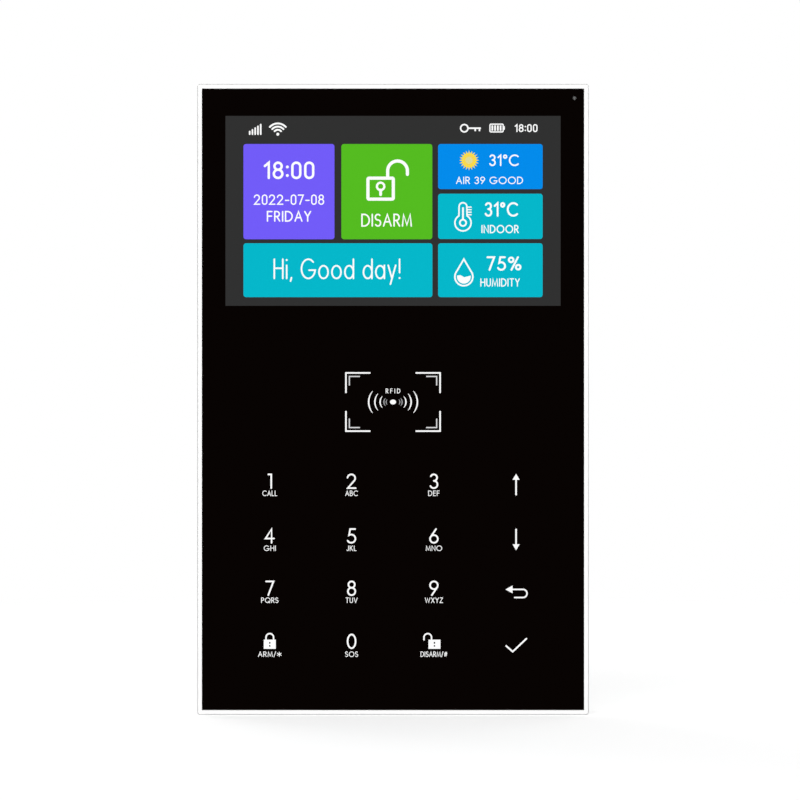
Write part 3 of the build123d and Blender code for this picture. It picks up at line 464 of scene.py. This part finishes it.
BOWL = 0.25
GLYPHS = {
    "0": [("loop", arc(0.29, 0.5, 0.29, 0, 360, 0.5))],
    "1": [("line", [(0.0, 1.0), (0.21, 1.0), (0.21, 0.0)])],
    "2": [("line", arc(0.28, 0.72, 0.28, 172, -38) + [(0.02, 0.0), (0.6, 0.0)])],
    "3": [("line", arc(0.25, 0.765, 0.235, 155, -90)), ("line", arc(0.25, 0.265, 0.265, 90, -155))],
    "4": [("line", [(0.44, 0.0), (0.44, 1.0), (0.0, 0.31), (0.62, 0.31)])],
    "5": [("line", [(0.53, 1.0), (0.17, 1.0)] + arc(0.25, 0.3, 0.3, 122, -150))],
    "6": [("loop", arc(0.28, 0.28, 0.28, 0, 360)), ("line", [(0.43, 1.0), (0.045, 0.43)])],
    "7": [("line", [(0.0, 1.0), (0.54, 1.0), (0.16, 0.0)])],
    "8": [("loop", arc(0.27, 0.77, 0.23, 0, 360)), ("loop", arc(0.27, 0.27, 0.27, 0, 360))],
    "9": [("loop", arc(0.28, 0.72, 0.28, 0, 360)), ("line", [(0.13, 0.0), (0.515, 0.57)])],
    "A": [("line", [(0.0, 0.0), (0.36, 1.0), (0.72, 0.0)]), ("line", [(0.14, 0.36), (0.58, 0.36)])],
    "B": [("loop", [(0.0, 1.0)] + arc(0.22, 0.77, 0.23, 90, -90) + [(0.0, 0.54)]),
          ("loop", [(0.0, 0.54)] + arc(0.26, 0.27, 0.27, 90, -90) + [(0.0, 0.0)])],
    "C": [("line", arc(0.5, 0.5, 0.5, 48, 312))],
    "D": [("loop", [(0.0, 0.0), (0.0, 1.0)] + arc(0.2, 0.5, 0.5, 90, -90))],
    "E": [("line", [(0.46, 1.0), (0.0, 1.0), (0.0, 0.0), (0.46, 0.0)]),
          ("line", [(0.0, 0.53), (0.42, 0.53)])],
    "F": [("line", [(0.46, 1.0), (0.0, 1.0), (0.0, 0.0)]), ("line", [(0.0, 0.52), (0.42, 0.52)])],
    "G": [("line", arc(0.5, 0.5, 0.5, 45, 352) + [(0.56, 0.43)])],
    "H": [("line", [(0.0, 0.0), (0.0, 1.0)]), ("line", [(0.62, 0.0), (0.62, 1.0)]),
          ("line", [(0.0, 0.53), (0.62, 0.53)])],
    "I": [("line", [(0.0, 0.0), (0.0, 1.0)])],
    "J": [("line", [(0.34, 1.0)] + arc(0.17, 0.19, 0.17, 0, -165))],
    "K": [("line", [(0.0, 0.0), (0.0, 1.0)]), ("line", [(0.5, 1.0), (0.02, 0.46)]),
          ("line", [(0.15, 0.6), (0.54, 0.0)])],
    "L": [("line", [(0.0, 1.0), (0.0, 0.0), (0.42, 0.0)])],
    "M": [("line", [(0.0, 0.0), (0.1, 1.0), (0.42, 0.08), (0.74, 1.0), (0.84, 0.0)])],
    "N": [("line", [(0.0, 0.0), (0.0, 1.0), (0.62, 0.0), (0.62, 1.0)])],
    "O": [("loop", arc(0.5, 0.5, 0.5, 0, 360))],
    "P": [("line", [(0.0, 0.0), (0.0, 1.0)] + arc(0.22, 0.74, 0.26, 90, -90) + [(0.0, 0.48)])],
    "Q": [("loop", arc(0.5, 0.5, 0.5, 0, 360)), ("line", [(0.6, 0.3), (0.95, -0.02)])],
    "R": [("line", [(0.0, 0.0), (0.0, 1.0)] + arc(0.22, 0.74, 0.26, 90, -90) + [(0.0, 0.48)]),
          ("line", [(0.22, 0.48), (0.52, 0.0)])],
    "S": [("line", arc(0.25, 0.76, 0.24, 40, 270) + arc(0.25, 0.26, 0.26, 88, -145))],
    "T": [("line", [(0.0, 1.0), (0.56, 1.0)]), ("line", [(0.28, 1.0), (0.28, 0.0)])],
    "U": [("line", [(0.0, 1.0)] + arc(0.28, 0.28, 0.28, 180, 360) + [(0.56, 1.0)])],
    "V": [("line", [(0.0, 1.0), (0.34, 0.0), (0.68, 1.0)])],
    "W": [("line", [(0.0, 1.0), (0.26, 0.0), (0.5, 0.92), (0.74, 0.0), (1.0, 1.0)])],
    "X": [("line", [(0.0, 0.0), (0.58, 1.0)]), ("line", [(0.0, 1.0), (0.58, 0.0)])],
    "Y": [("line", [(0.0, 1.0), (0.3, 0.48), (0.6, 1.0)]), ("line", [(0.3, 0.48), (0.3, 0.0)])],
    "Z": [("line", [(0.0, 1.0), (0.54, 1.0), (0.0, 0.0), (0.56, 0.0)])],
    "/": [("line", [(0.0, -0.05), (0.34, 1.05)])],
    "*": [("line", [(0.38, 0.04), (0.38, 0.92)]), ("line", [(0.0, 0.26), (0.76, 0.7)]),
          ("line", [(0.0, 0.7), (0.76, 0.26)])],
    "#": [("line", [(0.14, 0.08), (0.3, 0.92)]), ("line", [(0.42, 0.08), (0.58, 0.92)]),
          ("line", [(0.02, 0.34), (0.62, 0.34)]), ("line", [(0.08, 0.68), (0.68, 0.68)])],
    "-": [("line", [(0.0, 0.42), (0.36, 0.42)])],
    ":": [("dot", (0.0, 0.16)), ("dot", (0.0, 0.72))],
    "%": [("loop", arc(0.18, 0.79, 0.18, 0, 360)), ("loop", arc(0.74, 0.21, 0.18, 0, 360)),
          ("line", [(0.2, 0.0), (0.72, 1.0)])],
    "~": [("loop", arc(0.14, 0.86, 0.14, 0, 360))],
    "!": [("line", [(0.0, 1.0), (0.0, 0.3)]), ("dot", (0.0, 0.02))],
    ",": [("line", [(0.06, 0.04), (0.0, -0.14)])],
    "i": [("line", [(0.0, 0.68), (0.0, 0.0)]), ("dot", (0.0, 0.96))],
    "a": [("loop", arc(0.31, 0.33, 0.31, 0, 360, 0.33)), ("line", [(0.62, 0.68), (0.62, 0.0)])],
    "d": [("loop", arc(0.31, 0.33, 0.31, 0, 360, 0.33)), ("line", [(0.62, 1.0), (0.62, 0.0)])],
    "o": [("loop", arc(0.33, 0.33, 0.33, 0, 360))],
    "y": [("line", [(0.0, 0.68), (0.27, 0.0)]), ("line", [(0.54, 0.68), (0.16, -0.3)])],
}
SCREEN_GLYPHS = {
    "0": [("loop", arc(BOWL, 0.75, BOWL, 0, 180) + arc(BOWL, 0.25, BOWL, 180, 360))],
    "1": [("line", [(0.0, 0.78), (0.25, 1.0), (0.25, 0.0)])],
}


def glyph_width(parts):
    reach = 0.0
    for kind, shape in parts:
        points = [shape] if kind == "dot" else shape
        reach = max(reach, max(x for x, z in points))
    return reach


def write(drawing, text, centre, base, height, weight, width=None, glyphs=None, gap=0.16):
    """Text with its outer height, centred on a place, and squeezed to a width if one is given."""
    table = {**GLYPHS, **(glyphs or {})}
    unit = height - weight
    advance = 0.0
    places = []
    for letter in text:
        if letter == " ":
            advance += 0.45 * unit
            continue
        places.append((letter, advance))
        advance += glyph_width(table[letter]) * unit + weight + gap * unit
    natural = advance - gap * unit
    squeeze = (width - weight) / (natural - weight) if width else 1.0
    left = centre - (natural - weight) * squeeze / 2

    def placed(point, start):
        x, z = point
        return (left + (start + x * unit) * squeeze, base + weight / 2 + z * unit)

    for letter, start in places:
        for kind, shape in table[letter]:
            if kind == "dot":
                x, z = placed(shape, start)
                drawing.fill(arc(x, z, weight * 0.62, 0, 342, steps=19))
            elif kind == "loop":
                points = [placed(point, start) for point in shape]
                if (Vector(points[0]) - Vector(points[-1])).length < weight * 0.05:
                    points.pop()
                drawing.stroke(points, weight, closed=True)
            else:
                drawing.stroke([placed(point, start) for point in shape], weight)
    return drawing


# The picture on the display: places in millimetres right of and below its top left corner


def on_view(x, down):
    return VIEW_LEFT + x, VIEW_TOP - down


SCREEN_STEP = 0.02
BASE_FRONT = LCD_FRONT + SCREEN_STEP
TILE_FRONT = BASE_FRONT + SCREEN_STEP
SCREEN_BLEED = 0.7
TILE_RADIUS = 0.75
WHITE = linear(255, 255, 255)
WHITE_LIGHT = lit("screen_white", WHITE)


def panel_rect(name, left, right, top, bottom, back, radius, material):
    x0, z0 = on_view(left, top)
    x1, z1 = on_view(right, bottom)
    drawing = Drawing()
    drawing.fill(round_box((x0 + x1) / 2, (z0 + z1) / 2, x1 - x0, z0 - z1, radius))
    return drawing.piece(name, back, SCREEN_STEP, material, "display_glass")


panel_rect("display_background", -SCREEN_BLEED, VIEW_W + SCREEN_BLEED, -SCREEN_BLEED,
           VIEW_H + SCREEN_BLEED, LCD_FRONT, 0.1, lit("screen_grey", linear(49, 49, 49)))
TILES = {
    "tile_clock": (5.07, 30.9, 7.93, 34.97, linear(114, 92, 248)),
    "tile_lock": (32.86, 58.67, 7.93, 34.97, linear(85, 187, 33)),
    "tile_weather": (60.31, 89.98, 7.93, 20.74, linear(4, 139, 235)),
    "tile_warmth": (60.31, 89.98, 22.04, 34.9, linear(6, 183, 202)),
    "tile_greeting": (5.07, 58.7, 36.1, 51.4, linear(6, 183, 202)),
    "tile_moisture": (60.31, 89.98, 36.1, 51.4, linear(6, 183, 202)),
}
for tile_name, (left, right, top, bottom, colour) in TILES.items():
    panel_rect(tile_name, left, right, top, bottom, BASE_FRONT, TILE_RADIUS,
               lit(tile_name, colour))


def screen_piece(drawing, name, material=WHITE_LIGHT, layer=0):
    back = TILE_FRONT + layer * SCREEN_STEP
    return drawing.piece(name, back, SCREEN_STEP, material, "display_glass")


def screen_text(name, text, centre, bottom, height, weight, width=None, gap=0.16):
    """Text centred on a place, with its foot at a distance below the display's top edge."""
    x, z = on_view(centre, bottom)
    drawing = write(Drawing(), text, x, z, height, weight, width, SCREEN_GLYPHS, gap)
    return screen_piece(drawing, name)


def signal_bars():
    drawing = Drawing()
    for bar in range(5):
        x, z = on_view(6.85 + 0.78 * bar, 5.25)
        drawing.stroke([(x, z + 0.1), (x, z + 0.85 + 0.49 * bar)], 0.46)
    screen_piece(drawing, "icon_signal")


def wifi_fan():
    drawing = Drawing()
    x, z = on_view(14.83, 5.15)
    drawing.fill(arc(x, z, 0.42, 0, 342, steps=19))
    for radius in (1.25, 2.15, 3.05):
        drawing.stroke(arc(x, z, radius, 42, 138), 0.5)
    screen_piece(drawing, "icon_wifi")


def key_icon():
    drawing = Drawing()
    x, z = on_view(67.75, 3.45)
    drawing.stroke(arc(x, z, 1.05, 0, 342, steps=19), 0.42, closed=True)
    drawing.stroke([(x + 1.05, z), (x + 4.7, z)], 0.45, cap=False)
    for offset in (3.1, 4.3):
        drawing.stroke([(x + offset, z), (x + offset, z - 0.85)], 0.45, cap=False)
    screen_piece(drawing, "icon_key")


def battery_icon():
    drawing = Drawing()
    x, z = on_view(76.9, 3.4)
    drawing.stroke(round_box(x, z, 3.75, 2.2, 0.3), 0.34, closed=True)
    drawing.fill([(x + 2.05, z - 0.5), (x + 2.35, z - 0.5), (x + 2.35, z + 0.5), (x + 2.05, z + 0.5)])
    for bar in range(4):
        left = x - 1.45 + 0.78 * bar
        drawing.fill([(left, z - 0.75), (left + 0.5, z - 0.75), (left + 0.5, z + 0.75),
                      (left, z + 0.75)])
    screen_piece(drawing, "icon_battery")


def open_padlock():
    drawing = Drawing()
    stroke = 0.9
    x, z = on_view(44.0, 20.6)
    drawing.stroke(round_box(x, z, 7.2, 5.95, 0.35), stroke, closed=True)
    arch_x, arch_z = on_view(48.8, 15.55)
    arch = [(arch_x - 2.8, z + 3.3)] + arc(arch_x, arch_z, 2.8, 180, 0)
    drawing.stroke(arch + [(arch_x + 2.8, arch_z - 1.0)], stroke)
    drawing.stroke(arc(x, z + 0.65, 1.05, 0, 342, steps=19), 0.62, closed=True)
    drawing.stroke([(x, z - 0.4), (x, z - 1.7)], 0.8)
    screen_piece(drawing, "icon_padlock_open")


def sun_icon():
    x, z = on_view(69.1, 12.55)
    rays = Drawing()
    spikes = 20
    outline = []
    for index in range(2 * spikes):
        angle = math.pi * index / spikes
        radius = 2.85 if index % 2 == 0 else 1.85
        outline.append((x + radius * math.cos(angle), z + radius * math.sin(angle)))
    rays.fill(outline)
    screen_piece(rays, "icon_sun_rays", lit("sun_yellow", linear(255, 224, 52)))
    disc = Drawing().fill(arc(x, z, 1.6, 0, 352, steps=40))
    screen_piece(disc, "icon_sun_disc", lit("sun_gold", linear(248, 214, 84)), 1)
    heart = Drawing().fill(arc(x, z, 1.0, 0, 350, steps=30))
    screen_piece(heart, "icon_sun_middle", lit("sun_pale", linear(226, 219, 150)), 2)


def thermometer():
    drawing = Drawing()
    x, z = on_view(67.37, 30.3)
    bulb, neck, top = 2.3, 1.1, z + 4.6
    outline = arc(x, z, bulb, 120, 420) + arc(x, top, neck, 0, 180)
    drawing.stroke(outline, 0.42, closed=True)
    drawing.stroke(arc(x, z, 0.9, 0, 342, steps=19), 0.45, closed=True)
    drawing.stroke([(x, z + 0.9), (x, z + 4.2)], 0.5)
    for rung in range(4):
        height = z + 2.3 + 0.72 * rung
        drawing.stroke([(x + neck, height), (x + neck + 1.35, height)], 0.34, cap=False)
    screen_piece(drawing, "icon_thermometer")


def droplet():
    x, z = on_view(67.62, 45.6)
    radius = 2.55
    lean = math.degrees(math.asin(0.62))
    drawing = Drawing()
    outline = [(x, z + 5.0)] + arc(x, z, radius, 180 - lean, 360 + lean)
    drawing.stroke(outline, 0.45, closed=True)
    level = arc(x, z, 1.95, 170, 370)
    wave = [(x + 0.9, z + 0.05), (x + 0.1, z - 0.15), (x - 0.9, z + 0.45)]
    drawing.fill(level + wave)
    screen_piece(drawing, "icon_droplet")


def screen_words():
    screen_text("text_status_time", "18:00", 85.28, 4.55, 2.25, 0.34, 6.5)
    screen_text("text_clock", "18:00", 18.0, 17.9, 5.0, 0.68, 14.4)
    screen_text("text_date", "2022-07-08", 18.0, 25.2, 2.95, 0.36, 20.0)
    screen_text("text_day", "FRIDAY", 18.0, 30.0, 3.1, 0.4, 12.6)
    screen_text("text_lock", "DISARM", 45.7, 31.4, 3.7, 0.42, 14.4)
    screen_text("text_weather", "31~C", 79.0, 14.2, 3.3, 0.42, 8.4)
    screen_text("text_air", "AIR 39 GOOD", 74.9, 19.3, 2.1, 0.26, 19.0)
    screen_text("text_warmth", "31~C", 78.25, 28.55, 4.1, 0.54, 9.5)
    screen_text("text_warmth_label", "INDOOR", 77.9, 33.25, 2.35, 0.32, 10.6)
    screen_text("text_moisture", "75%", 79.0, 43.9, 4.1, 0.54, 9.9)
    screen_text("text_moisture_label", "HUMIDITY", 77.9, 48.4, 2.35, 0.3, 11.2)
    screen_text("text_greeting", "Hi, Good day!", 31.6, 46.3, 5.9, 0.46, 36.0, 0.2)


signal_bars()
wifi_fan()
key_icon()
battery_icon()
open_padlock()
sun_icon()
thermometer()
droplet()
screen_words()


# Legends lit through the ink film

LEGEND_DEPTH = 0.05
LEGEND_BACK = INK_FRONT - 0.02
LEGEND_LIGHT = glowing_ink("legend_light", linear(250, 250, 250), 1.15)
DIGIT_BASES = (-25.4, -40.9, -55.75, -70.8)
LABEL_BASES = (-27.42, -43.0, -57.75, -73.05)
DIGIT_HEIGHT = 4.35
DIGIT_WEIGHT = 0.46
LABEL_HEIGHT = 1.56
LABEL_WEIGHT = 0.19


def legend(drawing, name, material=LEGEND_LIGHT):
    return drawing.piece(name, LEGEND_BACK, LEGEND_DEPTH, material, "diffuser_milk")


DIGIT_KEYS = (("1", "CALL", 0, 0, 4.2), ("2", "ABC", 0, 1, 3.6), ("3", "DEF", 0, 2, 3.25),
              ("4", "GHI", 1, 0, 3.4), ("5", "JKL", 1, 1, 2.85), ("6", "MNO", 1, 2, 4.65),
              ("7", "PQRS", 2, 0, 4.9), ("8", "TUV", 2, 1, 3.4), ("9", "WXYZ", 2, 2, 5.15),
              ("0", "SOS", 3, 1, 3.7))
for digit, letters, row, column, label_width in DIGIT_KEYS:
    drawing = write(Drawing(), digit, KEY_X[column], DIGIT_BASES[row], DIGIT_HEIGHT, DIGIT_WEIGHT)
    write(drawing, letters, KEY_X[column], LABEL_BASES[row], LABEL_HEIGHT, LABEL_WEIGHT, label_width)
    legend(drawing, f"legend_{digit}")


def arrow(name, row, upward):
    sign = 1 if upward else -1
    x = KEY_X[3]
    middle = DIGIT_BASES[row] + 1.2
    tip, tail = middle + sign * 3.1, middle - sign * 3.0
    drawing = Drawing()
    drawing.stroke([(x, tail), (x, tip - sign * 1.4)], 0.45, cap=False)
    drawing.fill([(x - 1.0, tip - sign * 1.7), (x + 1.0, tip - sign * 1.7), (x, tip)])
    legend(drawing, name)


def back_arrow():
    x = KEY_X[3] + 0.2
    top, low = DIGIT_BASES[2] + 1.85, DIGIT_BASES[2] - 0.45
    radius = (top - low) / 2
    drawing = Drawing()
    bend = arc(x + 1.75, (top + low) / 2, radius, 90, -90)
    drawing.stroke([(x - 1.6, top)] + bend + [(x - 0.6, low)], 0.42)
    drawing.fill([(x - 1.2, top - 1.1), (x - 1.2, top + 1.1), (x - 3.2, top)])
    legend(drawing, "legend_back")


def check_mark():
    x, z = KEY_X[3], DIGIT_BASES[3]
    points = [(x - 2.95, z + 1.0), (x - 0.95, z - 0.75), (x + 3.05, z + 3.05)]
    legend(Drawing().stroke(points, 0.45, cap=False), "legend_confirm")


def filled_padlock(name, column, open_side, text, text_width):
    """A filled padlock with a keyhole of two small dots, over its label."""
    x = KEY_X[column]
    shift = 0.15 if open_side else 0.0
    left, right = x + shift - 1.7, x + shift + 1.7
    low = DIGIT_BASES[3] + 0.05
    levels = (low, low + 0.62, low + 1.05, low + 1.45, low + 1.95, low + 2.6)
    hole = (x + shift - 0.2, x + shift + 0.2)
    drawing = Drawing()
    for level in range(5):
        floor, roof = levels[level], levels[level + 1]
        spans = [(left, right)] if level % 2 == 0 else [(left, hole[0]), (hole[1], right)]
        for start, end in spans:
            drawing.fill([(start, floor), (end, floor), (end, roof), (start, roof)])
    loop_x = x - 1.75 if open_side else x
    top, reach = levels[-1], 1.07
    arch = [(loop_x + reach, top)] + arc(loop_x, top + 0.65, reach, 0, 180)
    arch.append((loop_x - reach, top - 0.2 if open_side else top))
    drawing.stroke(arch, 0.42, cap=False)
    write(drawing, text, x, LABEL_BASES[3], LABEL_HEIGHT, LABEL_WEIGHT, text_width)
    legend(drawing, name)


arrow("legend_up", 0, True)
arrow("legend_down", 1, False)
back_arrow()
check_mark()
filled_padlock("legend_arm", 0, False, "ARM/*", 6.7)
filled_padlock("legend_disarm", 2, True, "DISARM/#", 7.6)


def crescent(drawing, side, centre_z, reach, half, depth, weight):
    """One wave of the tag mark: its outer edge's reach, half height and depth, and its thickness."""
    radius = (half * half + depth * depth) / (2 * depth)
    spread = math.asin(half / radius)
    steps = 12
    outer, inner = [], []
    for step in range(steps + 1):
        share = 2 * step / steps - 1
        angle = share * spread
        for edge, distance in ((outer, radius), (inner, radius - weight * (1 - 0.7 * share ** 2))):
            edge.append((side * (reach - radius + distance * math.cos(angle)),
                         centre_z + distance * math.sin(angle)))
    drawing.fill(outer + inner[::-1])


def tag_mark():
    """The mark that shows where a tag is held: corner brackets, a dot and spreading waves."""
    centre_z = (GLASS_LOW.z + GLASS_HIGH.z) / 2 / MM - 0.75
    half_w, half_h = 13.35, 8.25
    bright, pale, dim = Drawing(), Drawing(), Drawing()
    for sx in (-1, 1):
        for sz in (-1, 1):
            x, z = sx * half_w, centre_z + sz * half_h
            bright.stroke([(x - sx * 6.95, z), (x, z), (x, z - sz * 5.7)], 0.43, cap=False)
            inner_x, inner_z = x - sx * 0.97, z - sz * 1.0
            pale.stroke([(inner_x - sx * 3.0, inner_z), (inner_x, inner_z),
                         (inner_x, inner_z - sz * 2.55)], 0.34, cap=False)
        for wave in ((7.12, 3.15, 1.3, 0.42), (5.35, 2.4, 1.02, 0.4), (3.86, 1.65, 0.8, 0.38)):
            crescent(bright, sx, centre_z, *wave)
        for wave in ((2.76, 1.1, 0.6, 0.32), (2.09, 0.78, 0.42, 0.28)):
            crescent(dim, sx, centre_z, *wave)
    bright.fill(arc(0, centre_z, 0.86, 0, 348, 0.69, steps=29))
    write(bright, "RFID", 0, centre_z + 2.45, 1.38, 0.19, 4.15, gap=0.5)
    legend(bright, "legend_tag")
    legend(pale, "legend_tag_frame", glowing_ink("legend_pale", linear(205, 205, 206)))
    legend(dim, "legend_tag_waves", glowing_ink("legend_grey", linear(150, 150, 152)))


tag_mark()


def microphone_mesh():
    """Grey woven disc behind the small hole at the top right."""
    low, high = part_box("microphone_boot")
    x, z = (low.x + high.x) / 2 / MM, (low.z + high.z) / 2 / MM
    recipe = Recipe("mesh_grey", linear(120, 120, 122), 0.6)
    weave = recipe.multiply(recipe.lines(0.12, "X"), recipe.lines(0.12, "Z"))
    recipe.paint(recipe.blend(weave, linear(60, 60, 60), linear(150, 150, 150)))
    disc = Drawing().fill(arc(x, z, 0.48, 0, 345, steps=23))
    disc.piece("microphone_mesh", GLASS_FRONT - 0.5, 0.1, recipe.material, "foam_grey")


microphone_mesh()


# SIM contacts on the back of the card


def sim_contacts():
    low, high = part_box("sim_card")
    x, z = (low.x + high.x) / 2 / MM, (low.z + high.z) / 2 / MM
    drawing = Drawing()
    for column in (-1, 1):
        for row in range(4):
            drawing.fill(round_box(x + column * 2.6, z + 3.6 - 2.4 * row, 3.0, 1.9, 0.4))
    gold = plated("contact_gold", (0.90, 0.66, 0.28, 1.0), 0.25)
    drawing.piece("sim_contacts", -high.y / MM - 0.03, 0.02, gold, "bare_copper", "sim_card")


sim_contacts()


# The spring behind the tamper plunger


def tamper_coil():
    """The tamper spring, as a copy of its solid carried with the panel."""
    solid = frame["nodes"]["tamper_spring"]
    coil = bpy.data.objects.new("tamper_coil", solid.data.copy())
    bpy.context.scene.collection.objects.link(coil)
    coil.matrix_world = solid.matrix_world
    coil.data.materials.clear()
    coil.data.materials.append(MATERIALS["spring_steel"])
    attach(coil, "panel")
    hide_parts("tamper_spring")
    bpy.context.view_layer.update()
    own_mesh(coil)


tamper_coil()


# Camera, light and floor

FRAMED_WIDTH = 226.6
FRAMED_SHIFT = (1.98, -0.18)
LENS = 150.0
SENSOR = 36.0


def add_camera():
    data = bpy.data.cameras.new("camera")
    data.lens = LENS
    data.sensor_width = SENSOR
    data.clip_end = 50.0
    camera = bpy.data.objects.new("camera", data)
    middle = (GLASS_LOW + GLASS_HIGH) / 2
    distance = FRAMED_WIDTH * MM * LENS / SENSOR
    camera.location = (middle.x + FRAMED_SHIFT[0] * MM, GLASS_LOW.y - distance,
                       middle.z + FRAMED_SHIFT[1] * MM)
    camera.rotation_euler = (math.radians(90), 0, 0)
    bpy.context.scene.collection.objects.link(camera)
    bpy.context.scene.camera = camera


def add_softbox(name, place, target, size, power):
    data = bpy.data.lights.new(name, "AREA")
    data.shape = "RECTANGLE"
    data.size, data.size_y = size
    data.energy = power
    lamp = bpy.data.objects.new(name, data)
    lamp.location = place
    lamp.rotation_mode = "QUATERNION"
    lamp.rotation_quaternion = (Vector(target) - Vector(place)).to_track_quat("-Z", "Y")
    bpy.context.scene.collection.objects.link(lamp)


def ramp(tree, value, stops):
    """A smooth curve of brightness over a value from -1 to 1."""
    spread = tree.nodes.new("ShaderNodeMapRange")
    spread.inputs["From Min"].default_value = -1.0
    tree.links.new(value, spread.inputs["Value"])
    node = tree.nodes.new("ShaderNodeValToRGB")
    node.color_ramp.interpolation = "EASE"
    elements = node.color_ramp.elements
    while len(elements) < len(stops):
        elements.new(0.5)
    for element, (place, level) in zip(elements, stops):
        element.position = (place + 1) / 2
        element.color = (level, level, level, 1.0)
    tree.links.new(spread.outputs["Result"], node.inputs["Fac"])
    return node.outputs["Color"]


def background(tree, colour, strength):
    node = tree.nodes.new("ShaderNodeBackground")
    node.inputs["Strength"].default_value = strength
    if isinstance(colour, tuple):
        node.inputs["Color"].default_value = colour
    else:
        tree.links.new(colour, node.inputs["Color"])
    return node.outputs["Background"]


def add_world():
    """A white studio: broad light on the front, less at the sides, and dark in the glass's mirror."""
    world = bpy.data.worlds.new("studio")
    world.use_nodes = True
    bpy.context.scene.world = world
    tree = world.node_tree
    tree.nodes.clear()
    coordinates = tree.nodes.new("ShaderNodeTexCoord")
    toward = tree.nodes.new("ShaderNodeVectorMath")
    toward.operation = "DOT_PRODUCT"
    toward.inputs[1].default_value = (0.0, -1.0, 0.0)
    tree.links.new(coordinates.outputs["Generated"], toward.inputs[0])
    front = toward.outputs["Value"]
    lighting = ramp(tree, front, ((-1.0, 0.24), (0.0, 0.13), (0.5, 0.06), (0.7, 1.0), (1.0, 1.0)))
    mirrored = ramp(tree, front, ((-1.0, 0.55), (-0.1, 0.5), (0.1, 0.3), (0.6, 0.2), (0.96, 0.0)))
    rays = tree.nodes.new("ShaderNodeLightPath")
    shader = background(tree, lighting, 1.95)
    for kind, seen in (("Is Glossy Ray", background(tree, mirrored, 1.0)),
                       ("Is Camera Ray", background(tree, (1.0, 1.0, 1.0, 1.0), 1.0))):
        mix = tree.nodes.new("ShaderNodeMixShader")
        tree.links.new(rays.outputs[kind], mix.inputs["Fac"])
        tree.links.new(shader, mix.inputs[1])
        tree.links.new(seen, mix.inputs[2])
        shader = mix.outputs["Shader"]
    output = tree.nodes.new("ShaderNodeOutputWorld")
    tree.links.new(shader, output.inputs["Surface"])


def add_floor():
    """A pale floor that fades to the white of the room away from the object."""
    low = CAD_BOX[0].z
    half = 4.0
    mesh = bpy.data.meshes.new("floor")
    corners = [(-half, -half, low), (half, -half, low), (half, half, low), (-half, half, low)]
    mesh.from_pydata(corners, [], [(0, 1, 2, 3)])
    floor = bpy.data.objects.new("floor", mesh)
    bpy.context.scene.collection.objects.link(floor)
    recipe = Recipe("floor_pale", (0.86, 0.86, 0.86, 1.0), 0.9)
    recipe.set("Specular IOR Level", 0.0)
    reach = recipe.tree.nodes.new("ShaderNodeVectorMath")
    reach.operation = "LENGTH"
    recipe.link(recipe.coordinates, reach.inputs[0])
    away = recipe.ranged(reach.outputs["Value"], 0.12, 0.55, 0.0, 1.0)
    recipe.paint(recipe.blend(away, recipe.colour, (0.0, 0.0, 0.0, 1.0)))
    recipe.paint(recipe.blend(away, (0.5, 0.5, 0.5, 1.0), WHITE), "Emission Color")
    recipe.set("Emission Strength", 1.0)
    mesh.materials.append(recipe.material)
    floor.visible_glossy = False
    floor.visible_diffuse = False


add_camera()
add_world()
add_softbox("key_light", (-0.8, -1.0, 1.2), (0, 0, 0), (0.9, 0.9), 2.5)
add_softbox("back_light_left", (-0.9, 1.3, 0.9), (0, 0, 0), (0.9, 0.9), 5.5)
add_softbox("back_light_right", (0.8, 1.5, 0.3), (0, 0, 0), (0.9, 0.9), 4.5)
add_floor()

scene = bpy.context.scene
scene.view_settings.view_transform = "Standard"
scene.view_settings.look = "None"
